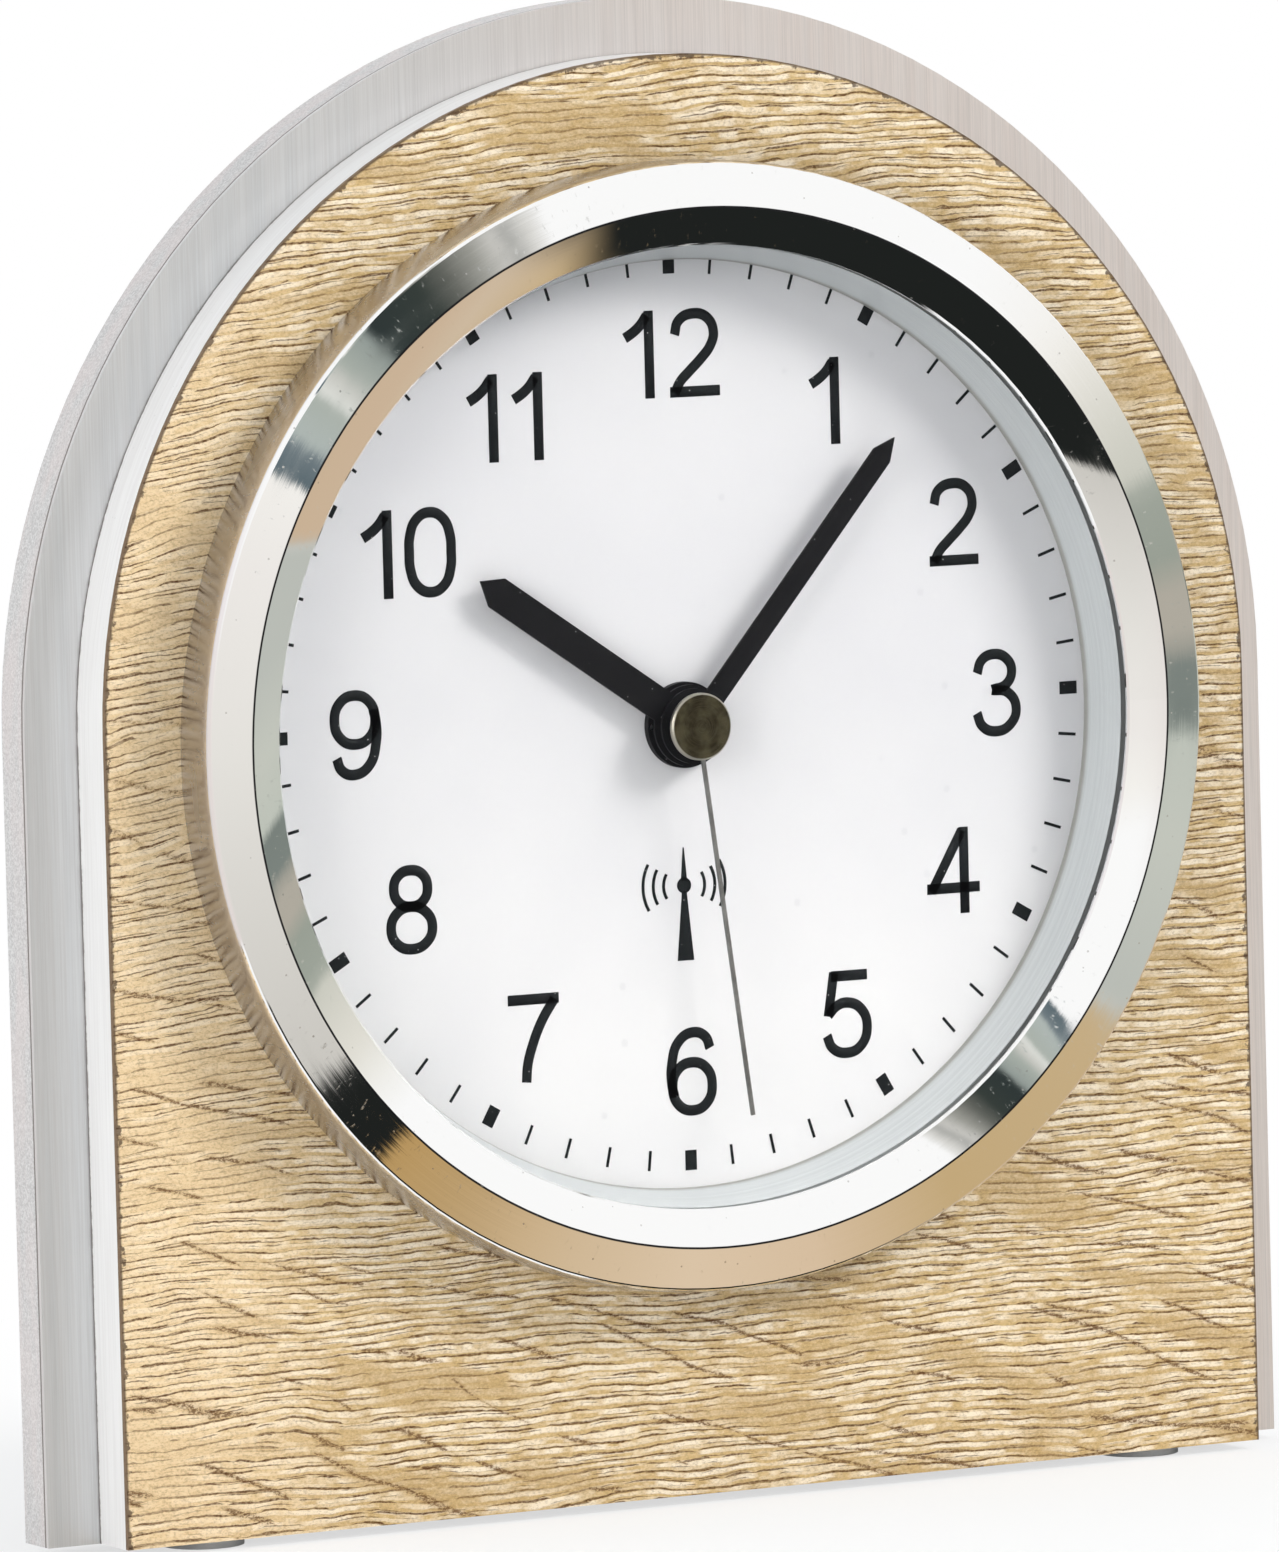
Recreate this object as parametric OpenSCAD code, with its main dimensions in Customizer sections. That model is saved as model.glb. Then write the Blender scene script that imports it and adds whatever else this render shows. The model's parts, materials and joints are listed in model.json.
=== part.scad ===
// Table clock with two stacked arched boards, a metal bezel with a flat glass, and a radio-controlled
// movement with one motor for the second hand and one for the minute and hour hands.
// The clock faces -Y, +Z is up and +X is on the viewer's right. The origin is at the middle of the
// space that the clock stands on.

/* [Boards] */
// Wood showing beside the bezel
side_margin = 10.4; // [8:0.2:14]
// Back board showing round the front board
board_margin = 7.2; // [6:0.1:9]
// Height of the dial's centre above the boards' lower edge
dial_h = 98.5; // [96:0.5:106]
// Height of the arches' centre above the dial's centre
arch_lift = 3; // [0:0.5:6]
// Thickness of the wood laminate
veneer_t = 0.7; // [0.5:0.1:1]
// Thickness of the front board behind the laminate
front_core_t = 7.3; // [6.6:0.1:9]
// Thickness of the brushed sheet on the back board
sheet_t = 0.6; // [0.4:0.1:1]
// Thickness of the back board behind the sheet
back_core_t = 6; // [5:0.1:8]

/* [Foot] */
// Width of the foot bar behind the boards
foot_w = 120; // [100:1:140]
// Height of the foot bar
foot_h = 20; // [15:0.5:30]
// Depth of the foot bar
foot_d = 27; // [22:0.5:36]
// Rounding of the foot bar's rear corners
foot_corner_r = 6; // [3:0.5:9]
// Radius of a felt pad
pad_r = 5.2; // [4:0.1:6]
// Thickness of a felt pad
pad_t = 1.2; // [1:0.1:2]

/* [Bezel] */
// Radius of the opening inside the bezel's lip
lip_r = 61.2; // [60:0.1:62]
// Radius of the crest line
crest_r = 66; // [65.6:0.1:66.6]
// Radius where the outer slope ends
slope_r = 71.2; // [70.6:0.1:71.4]
// Radius of the bezel's side wall
rim_r = 71.9; // [71.7:0.1:73]
// Height of the lip above the wood
lip_h = 6.5; // [6.3:0.1:7]
// Height of the crest above the wood
crest_h = 8.4; // [8.2:0.1:9.4]
// Height of the outer slope's end above the wood
slope_h = 7.35; // [7.1:0.05:7.8]
// Height where the rounded edge meets the side wall
rim_h = 5.1; // [4.6:0.1:5.6]
// Thickness of the bezel's walls
bezel_wall = 1.3; // [1.1:0.1:1.6]
// Thickness of the lip over the glass
lip_t = 0.6; // [0.5:0.1:0.8]

/* [Glass and dial] */
// Thickness of the glass
glass_t = 1.5; // [1.2:0.1:1.8]
// Thickness of the gasket in front of the glass
gasket_t = 0.3; // [0.2:0.05:0.4]
// Height of the sloping ring between glass and dial
dial_ring_h = 6; // [5.8:0.1:6.6]
// Radius of the sloping ring where it meets the dial
dial_ring_r = 59.2; // [58:0.1:60.2]
// Thickness of the dial plate
dial_t = 0.6; // [0.5:0.1:1]
// Thickness of the retaining ring behind the dial
clip_t = 1; // [0.8:0.1:1.2]
// Length of the bezel's skirt behind the wood's face
skirt_l = 5.2; // [4.6:0.1:6]

/* [Hands] */
// Length of the hour hand
hour_l = 35.6; // [30:0.2:42]
// Width of the hour hand
hour_w = 4.2; // [3.4:0.1:4.8]
// Length of the minute hand
minute_l = 46.4; // [40:0.2:52]
// Width of the minute hand
minute_w = 2.9; // [2.4:0.1:3.4]
// Length of the second hand
second_l = 50.5; // [46:0.5:56]
// Width of the second hand
second_w = 0.55; // [0.5:0.05:1]
// Thickness of a hand
hand_t = 0.4; // [0.3:0.05:0.5]
// Radius of the hubs under the cap
hub_r = 5.2; // [4.9:0.1:5.6]
// Radius of the cap on the second hand
cap_r = 4.3; // [3.6:0.1:4.6]
// Direction of the hour hand at rest, clockwise from twelve
hour_deg = 304; // [0:0.1:360]
// Direction of the minute hand at rest, clockwise from twelve
minute_deg = 40.5; // [0:0.1:360]
// Direction of the second hand at rest, clockwise from twelve
second_deg = 172.6; // [0:0.1:360]

/* [Movement case] */
// Space between the battery's bay and the corner posts
bay_side = 2.05; // [1.6:0.05:4]
// Depth of the case
case_d = 20; // [19.8:0.1:22]
// Rounding of the case's upright corners
case_corner_r = 4; // [3:0.5:5]
// Wall of the rear shell
case_wall = 1.5; // [1.2:0.1:1.6]
// Thickness of the front plate
front_plate_t = 1.6; // [1.4:0.1:1.8]
// Thickness of the rubber washer behind the dial
washer_t = 0.8; // [0.6:0.1:1]

/* [Wheel train] */
// Tooth module of the slow wheels
slow_module = 0.35; // [0.34:0.005:0.36]
// Tooth module of the two wheels that the rotors drive
fast_module = 0.3; // [0.29:0.005:0.31]
// Thickness of a wheel
wheel_t = 0.9; // [0.8:0.05:1]
// Gap between wheels that pass each other
layer_gap = 0.45; // [0.4:0.05:0.5]
// Radius of a plain arbor
arbor_r = 0.5; // [0.4:0.05:0.55]
// Radius of the rotor magnets
magnet_r = 2.3; // [2:0.1:2.5]

/* [Battery] */
// Radius of the round cell
cell_r = 7.1; // [6.9:0.05:7.2]
// Length of the cell without its button
cell_l = 49.2; // [48.5:0.1:49.5]

/* [Hidden] */
$fn = 96;

// How far a cut runs past what it cuts
over = 1;
// Clearance of a turning or sliding fit, on the radius
fit_gap = 0.05;
// Clearance on the radius of pieces that are pressed together
press_gap = 0.01;
// Clearance between pieces that are put together without touching
loose_gap = 0.2;

// Places along Y, from the crest of the bezel at the front to the end of the foot bar
total_d = crest_h + veneer_t + front_core_t + sheet_t + back_core_t + foot_d;
y_wood = crest_h - total_d / 2;
y_core = y_wood + veneer_t;
y_sheet = y_core + front_core_t;
y_back = y_sheet + sheet_t;
y_rear = y_back + back_core_t;
y_end = y_rear + foot_d;
y_glass = y_wood - lip_h + lip_t + gasket_t;
y_glass_back = y_glass + glass_t;
y_dial = y_glass_back + dial_ring_h;
y_dial_back = y_dial + dial_t;
y_case = y_dial_back + washer_t;
y_inside = y_case + front_plate_t;
y_case_end = y_case + case_d;

// Heights of the boards' lower edge, of the hands' axis and of the arches' centre
base_z = pad_t;
axis_z = base_z + dial_h;
arch_z = axis_z + arch_lift;
wood_w = 2 * (rim_r + side_margin);
board_w = wood_w + 2 * board_margin;

// The case's width, from the battery's bay and the corner posts beside it
cell_gap = 0.4;
bay_wall = 1.2;
nub_l = 1.2;
nub_r = 2.7;
contact_t = 0.4;
contact_bow = 2.2;
bay_l = cell_l + nub_l + 2 * contact_t + contact_bow + 2 * fit_gap;
bay_outer_l = bay_l + 2 * bay_wall;
corner_inset = 2.9;
corner_post_r = 2.6;
coil_x = 30.4;
coil_flange_r = 2.8;
motor_side = 2.3;
bay_reach = bay_outer_l / 2 + bay_side + corner_post_r + corner_inset;
motor_reach = coil_x + coil_flange_r + motor_side;
case_w = 2 * (max(bay_reach, motor_reach) + case_wall);

// Holes for the insert and for the movement
skirt_wall = 1.3;
lip_reach = 2.4;
pocket_r = lip_r + lip_reach;
skirt_r = pocket_r + skirt_wall;
seal_t = 1.5;
insert_hole_r = skirt_r + seal_t + 2 * fit_gap;
case_hole_gap = 0.8;

// Screws
screw_r = 1.5;
screw_core_r = 1.2;
screw_head_r = 3;
screw_slot_w = 0.7;
screw_slot_d = 0.9;
board_screw_inset = 10.3;
board_screw_x = wood_w / 2 - board_screw_inset;
board_screw_low = 12;
board_screw_high = 84;
foot_screw_x = 40;
foot_screw_l = 22;

// A flat piece between two places along Y, from an outline drawn in X and Z
module plate(y, t) {
    translate([0, y + t, 0]) rotate([90, 0, 0]) linear_extrude(height = t) children();
}
// A round bar along Y
module bar(x, z, y, l, r) {
    translate([x, y + l, z]) rotate([90, 0, 0]) cylinder(h = l, r = r);
}
// A cone frustum along Y, r at its front and r_end at its rear
module cone_bar(x, z, y, l, r, r_end) {
    translate([x, y + l, z]) rotate([90, 0, 0]) cylinder(h = l, r1 = r_end, r2 = r);
}
// A turned piece on the hands' axis, from a profile of radius and height above the wood's face
module turned() {
    translate([0, y_wood, axis_z]) rotate([90, 0, 0]) rotate_extrude($fn = 180) children();
}
module rounded_square(w, h, r) {
    translate([-w / 2 + r, -h / 2]) square([w - 2 * r, h]);
    translate([-w / 2, -h / 2 + r]) square([w, h - 2 * r]);
    for (x = [-1, 1], z = [-1, 1]) translate([x * (w / 2 - r), z * (h / 2 - r)]) circle(r = r);
}
module ring(r_out, r_in) {
    difference() {
        circle(r = r_out);
        circle(r = r_in);
    }
}

// Boards
module arch_outline(w) {
    translate([0, arch_z]) circle(d = w, $fn = 180);
    translate([-w / 2, base_z]) square([w, arch_z - base_z]);
}
module case_hole() {
    translate([0, axis_z]) rounded_square(case_w + 2 * case_hole_gap, case_w + 2 * case_hole_gap,
        case_corner_r + case_hole_gap);
}
module at_board_screws() {
    for (x = [-1, 1], z = [board_screw_low, board_screw_high])
        translate([x * board_screw_x, 0, base_z + z]) children();
}
module at_foot_screws() {
    for (x = [-1, 1]) translate([x * foot_screw_x, 0, base_z + foot_h / 2]) children();
}
module wood_veneer() {
    color("burlywood") plate(y_wood, veneer_t) difference() {
        arch_outline(wood_w);
        translate([0, axis_z]) circle(r = insert_hole_r);
    }
}
module front_board() {
    color("whitesmoke") difference() {
        plate(y_core, front_core_t) difference() {
            arch_outline(wood_w);
            translate([0, axis_z]) circle(r = insert_hole_r);
        }
        at_board_screws() bar(0, 0, y_sheet - board_bite, board_bite + over, screw_core_r);
    }
}
board_bite = 5.5;
module aluminium_sheet() {
    color("silver") difference() {
        plate(y_sheet, sheet_t) difference() {
            arch_outline(board_w);
            case_hole();
        }
        at_board_screws() bar(0, 0, y_sheet - over, sheet_t + 2 * over, screw_r + fit_gap);
        at_foot_screws() bar(0, 0, y_sheet - over, sheet_t + 2 * over, screw_head_r + fit_gap);
    }
}
module back_board() {
    color("mistyrose") difference() {
        plate(y_back, back_core_t) difference() {
            arch_outline(board_w);
            case_hole();
        }
        at_board_screws() {
            bar(0, 0, y_back - over, back_core_t + 2 * over, screw_r + fit_gap);
            cone_bar(0, 0, y_rear - head_l - fit_gap, head_l + fit_gap, screw_r, screw_head_r + fit_gap);
        }
        at_foot_screws() {
            bar(0, 0, y_back - over, back_core_t + 2 * over, screw_r + fit_gap);
            cone_bar(0, 0, y_back, head_l + fit_gap, screw_head_r + fit_gap, screw_r);
        }
    }
}
head_l = screw_head_r - screw_r;
// A countersunk wood screw along +Y, its head's face at y
module wood_screw(y, l, shank_l) {
    difference() {
        union() {
            cone_bar(0, 0, y, head_l, screw_head_r, screw_r);
            bar(0, 0, y + head_l, shank_l - head_l, screw_r);
            bar(0, 0, y + shank_l, l - shank_l - screw_core_r, screw_core_r - fit_gap);
            cone_bar(0, 0, y + l - screw_core_r, screw_core_r, screw_core_r - fit_gap, fit_gap);
        }
        translate([-screw_head_r, y - over, -screw_slot_w / 2])
            cube([2 * screw_head_r, over + screw_slot_d, screw_slot_w]);
        translate([-screw_slot_w / 2, y - over, -screw_head_r])
            cube([screw_slot_w, over + screw_slot_d, 2 * screw_head_r]);
    }
}
board_screw_grip = back_core_t + sheet_t;
module board_screws() {
    color("gold") at_board_screws() translate([0, 2 * y_rear, 0]) mirror([0, 1, 0])
        wood_screw(y_rear, board_screw_grip + board_bite - loose_gap, board_screw_grip - fit_gap);
}

// Foot bar
module foot_bar() {
    inner_y = foot_d - foot_corner_r;
    color("dimgray") difference() {
        translate([0, y_rear, base_z]) linear_extrude(height = foot_h) {
            translate([-foot_w / 2, 0]) square([foot_w, inner_y]);
            translate([-foot_w / 2 + foot_corner_r, 0]) square([foot_w - 2 * foot_corner_r, foot_d]);
            for (x = [-1, 1]) translate([x * (foot_w / 2 - foot_corner_r), inner_y])
                circle(r = foot_corner_r);
        }
        at_foot_screws() bar(0, 0, y_rear - over, foot_screw_l + over, screw_core_r);
    }
}
module foot_screws() {
    color("gold") at_foot_screws() wood_screw(y_back, foot_screw_l + back_core_t - loose_gap,
        back_core_t - fit_gap);
}
pad_inset = 14;
module felt_pads() {
    boards_y = (y_wood + y_rear) / 2;
    color("darkslategray") for (x = [-1, 1]) {
        translate([x * (wood_w / 2 - pad_inset), boards_y, 0]) cylinder(h = pad_t, r = pad_r);
        translate([x * (foot_w / 2 - pad_inset), y_end - pad_inset / 2, 0]) cylinder(h = pad_t, r = pad_r);
    }
}

// Bezel and what it holds
lip_break = 0.25;
crest_flat = 0.12;
seat_h = y_wood - y_dial_back;
groove_d = 0.6;
edge_steps = 6;
function edge_point(t) = [slope_r + (rim_r - slope_r) * sin(t), rim_h + (slope_h - rim_h) * cos(t)];
module bezel_ring() {
    color("gainsboro") turned() polygon(concat(
        [[lip_r, lip_h - lip_t], [lip_r, lip_h - lip_break], [lip_r + lip_break, lip_h],
            [crest_r - crest_flat, crest_h], [crest_r + crest_flat, crest_h]],
        [for (i = [0:edge_steps]) edge_point(90 * i / edge_steps)],
        [[rim_r, 0], [rim_r - bezel_wall, 0], [rim_r - bezel_wall, rim_h],
            [slope_r - bezel_wall, slope_h - bezel_wall], [crest_r + bezel_wall, crest_h - 2 * bezel_wall],
            [skirt_r, lip_h - lip_t], [skirt_r, -skirt_l], [pocket_r, -skirt_l],
            [pocket_r, seat_h - clip_t - fit_gap], [pocket_r + groove_d, seat_h - clip_t - fit_gap],
            [pocket_r + groove_d, seat_h], [pocket_r, seat_h], [pocket_r, lip_h - lip_t]]));
}
inner_r = pocket_r - fit_gap;
glass_bevel = 0.3;
module glass() {
    glass_top = lip_h - lip_t - gasket_t;
    color("lightcyan", 0.4) turned() polygon([[0, glass_top], [inner_r - glass_bevel, glass_top],
        [inner_r, glass_top - glass_bevel], [inner_r, glass_top - glass_t], [0, glass_top - glass_t]]);
}
module glass_gasket() {
    color("black") plate(y_glass - gasket_t, gasket_t) translate([0, axis_z])
        ring(inner_r, lip_r + gasket_t);
}
module dial_ring() {
    ring_top = lip_h - lip_t - gasket_t - glass_t;
    color("lightgray") turned() polygon([[lip_r, ring_top], [inner_r, ring_top],
        [inner_r, ring_top - dial_ring_h], [dial_ring_r, ring_top - dial_ring_h],
        [dial_ring_r, ring_top - dial_ring_h + lip_break]]);
}
bushing_r = 4;
module dial() {
    color("white") plate(y_dial, dial_t) translate([0, axis_z]) ring(inner_r, bushing_r + fit_gap);
}
clip_band = 2.2;
clip_ear_r = 1.9;
clip_ear_hole_r = 0.8;
clip_half_gap = 6;
module retaining_ring() {
    clip_r = pocket_r + groove_d - fit_gap;
    ear_r = clip_r - clip_band - clip_ear_r / 2;
    color("slategray") plate(y_dial_back, clip_t) translate([0, axis_z]) difference() {
        union() {
            difference() {
                ring(clip_r, clip_r - clip_band);
                translate([-clip_half_gap, -clip_r - over]) square([2 * clip_half_gap, clip_r]);
            }
            for (x = [-1, 1]) translate([x * clip_half_gap, -ear_r]) circle(r = clip_ear_r);
        }
        for (x = [-1, 1]) translate([x * clip_half_gap, -ear_r]) circle(r = clip_ear_hole_r);
    }
}
seal_rib = 0.3;
seal_ribs = 3;
module insert_seal() {
    seal_in = skirt_r + fit_gap;
    seal_out = insert_hole_r - fit_gap;
    rib_l = (skirt_l - loose_gap) / (2 * seal_ribs);
    color("black") turned() {
        polygon([[seal_in, -loose_gap], [seal_out - seal_rib, -loose_gap],
            [seal_out - seal_rib, -skirt_l], [seal_in, -skirt_l]]);
        for (i = [0:seal_ribs - 1]) translate([0, -loose_gap - (2 * i + 1 / 2) * rib_l])
            polygon([[seal_in, 0], [seal_out - seal_rib, 0], [seal_out, -rib_l / 2],
                [seal_out - seal_rib, -rib_l], [seal_in, -rib_l]]);
    }
}

// Hands. The blades lie in front of the dial, each on its own tube.
hour_hand_f = 1.8;
minute_hand_f = 3;
second_hand_f = 4.1;
cap_t = 1.2;
second_shaft_r = arbor_r;
minute_tube_r = 1.6;
hour_tube_r = 2.5;
hour_tip_l = 2.8;
minute_tip_l = 2.9;
module on_dial(deg, f, t) {
    plate(y_dial - f - t, t) translate([0, axis_z]) rotate(-deg) children();
}
// A bar hand with a short point, from the middle of its hub's band
module blade(start, l, w, tip_l) {
    polygon([[w / 2, start], [w / 2, l - tip_l], [0, l], [-w / 2, l - tip_l], [-w / 2, start]]);
}
module hour_hand() {
    start = (hub_r + hour_tube_r + collet_wall) / 2;
    color("black") on_dial(hour_deg, hour_hand_f, hand_t) difference() {
        union() {
            blade(start, hour_l, hour_w, hour_tip_l);
            circle(r = hub_r);
        }
        circle(r = hour_tube_r + collet_wall);
    }
}
collet_wall = 0.7;
collet_l = 1;
module collet(f, r_in) {
    bore_r = r_in + press_gap;
    plate(y_dial - f - collet_l, collet_l) translate([0, axis_z]) ring(r_in + collet_wall, bore_r);
}
module hour_collet() {
    color("black") collet(hour_hand_f - collet_l / 2 + hand_t / 2, hour_tube_r);
}
module minute_hand() {
    start = (hub_r + minute_tube_r + collet_wall) / 2;
    color("black") on_dial(minute_deg, minute_hand_f, hand_t) difference() {
        union() {
            blade(start, minute_l, minute_w, minute_tip_l);
            circle(r = hub_r - hand_t);
        }
        circle(r = minute_tube_r + collet_wall);
    }
}
module minute_collet() {
    color("black") collet(minute_hand_f - collet_l / 2 + hand_t / 2, minute_tube_r);
}
second_hand_t = 0.3;
second_hub_r = 1.6;
module second_hand() {
    color("gray") on_dial(second_deg, second_hand_f, second_hand_t) difference() {
        union() {
            translate([-second_w / 2, 0]) square([second_w, second_l]);
            circle(r = second_hub_r);
        }
        circle(r = second_shaft_r + press_gap);
    }
}
// The cap is a shallow turned disc that covers the second hand's hub
module cap_profile() {
    brim = second_hand_t + loose_gap;
    polygon([[second_shaft_r + press_gap, second_hand_t + fit_gap],
        [second_hub_r + loose_gap, second_hand_t + fit_gap],
        [second_hub_r + loose_gap, brim], [cap_r, brim], [cap_r, cap_t - lip_break],
        [cap_r - lip_break, cap_t], [0, cap_t], [0, cap_t - brim], [second_shaft_r + press_gap, cap_t - brim]]);
}
module second_cap() {
    color("dimgray") translate([0, y_dial - second_hand_f, axis_z]) rotate([90, 0, 0])
        rotate_extrude() cap_profile();
}

// Toothed wheels. The tooth flanks are involutes, and short wheel teeth keep clear of the small pinions.
pressure_deg = 20;
wheel_head_share = 0.6;
pinion_head_share = 0.9;
root_share = 1.15;
slack_share = 0.1;
flank_steps = 3;
small_wheel_teeth = 20;
function involute_deg(r, base) = r > base ? sqrt(pow(r / base, 2) - 1) * 180 / PI - acos(base / r) : 0;
function head_share(n) = n > small_wheel_teeth ? wheel_head_share : pinion_head_share;
module gear(n, m, phase) {
    pitch = n * m / 2;
    base = pitch * cos(pressure_deg);
    tip = pitch + head_share(n) * m;
    root = pitch - root_share * m;
    low = max(root, base);
    half = 90 / n - slack_share * m / pitch * 90 / PI + involute_deg(pitch, base);
    flank = [for (i = [0:flank_steps]) let(r = low + (tip - low) * i / flank_steps)
        [r, half - involute_deg(r, base)]];
    foot = [[root, half]];
    side = concat(foot, flank);
    last = len(side) - 1;
    polygon([for (k = [0:n - 1]) let(a = phase + 360 * k / n) each concat(
        [for (i = [0:last]) side[i][0] * [cos(a - side[i][1]), sin(a - side[i][1])]],
        [for (i = [last:-1:0]) side[i][0] * [cos(a + side[i][1]), sin(a + side[i][1])]])]);
}
// Turn of a wheel with n_b teeth, so that it meshes with one of n_a teeth turned by phase_a;
// dir is the direction from the first axis to the second
function mesh_phase(dir, phase_a, n_a, n_b) = dir + 180 - (180 - (dir - phase_a) * n_a) / n_b;
function step_to(from, dir, l) = from + l * [cos(dir), sin(dir)];

// Tooth counts
hour_teeth = 40;
motion_pinion_teeth = 10;
motion_teeth = 36;
cannon_teeth = 12;
minute_teeth = 36;
minute_b_pinion_teeth = 12;
minute_b_teeth = 40;
train_pinion_teeth = 10;
rotor_wheel_teeth = 50;
second_teeth = 60;

// Axis distances and the module of the hour wheel, which shares the motion wheel's axis distance
motion_cd = (cannon_teeth + motion_teeth) * slow_module / 2;
hour_module = 2 * motion_cd / (hour_teeth + motion_pinion_teeth);
minute_b_cd = (minute_teeth + minute_b_pinion_teeth) * slow_module / 2;
minute_a_cd = (minute_b_teeth + train_pinion_teeth) * slow_module / 2;
rotor_cd = (rotor_wheel_teeth + train_pinion_teeth) * fast_module / 2;
second_a_cd = (second_teeth + train_pinion_teeth) * slow_module / 2;

// Directions of the axes, in degrees against the clock from the viewer's right
motion_dir = 90;
minute_b_dir = 160;
minute_a_dir = 200;
minute_rotor_dir = 150;
second_a_dir = 20;
second_rotor_dir = -30;

centre = [0, axis_z];
motion_at = step_to(centre, motion_dir, motion_cd);
minute_b_at = step_to(centre, minute_b_dir, minute_b_cd);
minute_a_at = step_to(minute_b_at, minute_a_dir, minute_a_cd);
minute_rotor_at = step_to(minute_a_at, minute_rotor_dir, rotor_cd);
second_a_at = step_to(centre, second_a_dir, second_a_cd);
second_rotor_at = step_to(second_a_at, second_rotor_dir, rotor_cd);

// Phases that put the teeth in mesh at rest
motion_phase = mesh_phase(motion_dir, 0, cannon_teeth, motion_teeth);
hour_phase = mesh_phase(motion_dir + 180, motion_phase, motion_pinion_teeth, hour_teeth);
minute_b_phase = mesh_phase(minute_b_dir, 0, minute_teeth, minute_b_pinion_teeth);
minute_a_phase = mesh_phase(minute_a_dir, minute_b_phase, minute_b_teeth, train_pinion_teeth);
minute_rotor_phase = mesh_phase(minute_rotor_dir, minute_a_phase, rotor_wheel_teeth, train_pinion_teeth);
second_a_phase = mesh_phase(second_a_dir, 0, second_teeth, train_pinion_teeth);
second_rotor_phase = mesh_phase(second_rotor_dir, second_a_phase, rotor_wheel_teeth, train_pinion_teeth);

// Layers of wheels behind the front plate
layer_t = wheel_t + layer_gap;
pivot_l = 1.2;
inner_plate_t = 1.2;
function layer_y(i) = y_inside + layer_gap + i * layer_t;
y_middle = layer_y(5);
y_middle_end = y_middle + inner_plate_t;
function rear_layer_y(i) = y_middle_end + layer_gap + i * layer_t;
y_bridge = rear_layer_y(2);
y_bridge_end = y_bridge + inner_plate_t;

boss_r = 1.6;
boss_h = layer_gap - fit_gap;
module wheel(at, y, n, m, phase) {
    plate(y, wheel_t) translate(at) gear(n, m, phase);
}
module rod_at(at, y, y_to, r) {
    bar(at[0], at[1], y, y_to - y, r);
}
web_t = 0.4;
// A spoked wheel: thin web with round windows between the hub and the toothed rim
windows = 5;
window_share = 0.11;
window_place_share = 0.27;
module web_windows(at, n, m) {
    for (k = [1:windows]) translate(at) rotate(360 * k / windows)
        translate([n * m * window_place_share, 0]) circle(r = n * m * window_share);
}
module spoked_wheel(at, y, n, m, phase) {
    plate(y, wheel_t) difference() {
        translate(at) gear(n, m, phase);
        web_windows(at, n, m);
    }
}

// Wheels of the hands
module hour_wheel() {
    bore_r = minute_tube_r + fit_gap;
    y_front = y_dial - hour_hand_f - hand_t / 2 - collet_l / 2;
    color("white") difference() {
        union() {
            spoked_wheel(centre, layer_y(0), hour_teeth, hour_module, hour_phase);
            rod_at(centre, y_front, layer_y(0) + wheel_t, hour_tube_r);
        }
        rod_at(centre, y_front - over, layer_y(0) + wheel_t + over, bore_r);
    }
}
module motion_wheel() {
    color("white") difference() {
        union() {
            wheel(motion_at, layer_y(0), motion_pinion_teeth, hour_module, motion_phase);
            spoked_wheel(motion_at, layer_y(1), motion_teeth, slow_module, motion_phase);
            plate(layer_y(0), layer_t) translate(motion_at) circle(r = motion_post_r + fit_gap + web_t);
        }
        rod_at(motion_at, layer_y(0) - over, layer_y(2), motion_post_r + fit_gap);
    }
}
motion_post_r = 0.6;
module minute_wheel() {
    y_front = y_dial - minute_hand_f - hand_t / 2 - collet_l / 2;
    color("gold") difference() {
        union() {
            wheel(centre, layer_y(1), cannon_teeth, slow_module, 0);
            spoked_wheel(centre, layer_y(2), minute_teeth, slow_module, 0);
            rod_at(centre, y_front, layer_y(2) + wheel_t, minute_tube_r);
        }
        rod_at(centre, y_front - over, layer_y(2) + wheel_t + over, second_shaft_r + fit_gap);
    }
}
module minute_second_wheel() {
    color("white") {
        wheel(minute_b_at, layer_y(2), minute_b_pinion_teeth, slow_module, minute_b_phase);
        spoked_wheel(minute_b_at, layer_y(3), minute_b_teeth, slow_module, minute_b_phase);
        rod_at(minute_b_at, y_inside - pivot_in, y_middle + pivot_in, arbor_r);
    }
}
pivot_in = 0.8;
module minute_first_wheel() {
    color("white") {
        wheel(minute_a_at, layer_y(3), train_pinion_teeth, slow_module, minute_a_phase);
        spoked_wheel(minute_a_at, layer_y(4), rotor_wheel_teeth, fast_module, minute_a_phase);
        rod_at(minute_a_at, y_inside - pivot_in, y_middle + pivot_in, arbor_r);
    }
}
module second_first_wheel() {
    color("white") {
        wheel(second_a_at, rear_layer_y(0), train_pinion_teeth, slow_module, second_a_phase);
        spoked_wheel(second_a_at, rear_layer_y(1), rotor_wheel_teeth, fast_module, second_a_phase);
        rod_at(second_a_at, y_middle_end - pivot_in, y_bridge + pivot_in, arbor_r);
    }
}
module second_wheel() {
    color("white") difference() {
        spoked_wheel(centre, rear_layer_y(0), second_teeth, slow_module, 0);
        rod_at(centre, rear_layer_y(0) - over, rear_layer_y(1), second_shaft_r);
    }
}
module second_arbor() {
    y_front = y_dial - second_hand_f - cap_t / 2;
    color("silver") rod_at(centre, y_front, y_bridge + pivot_in, second_shaft_r);
}

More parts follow.
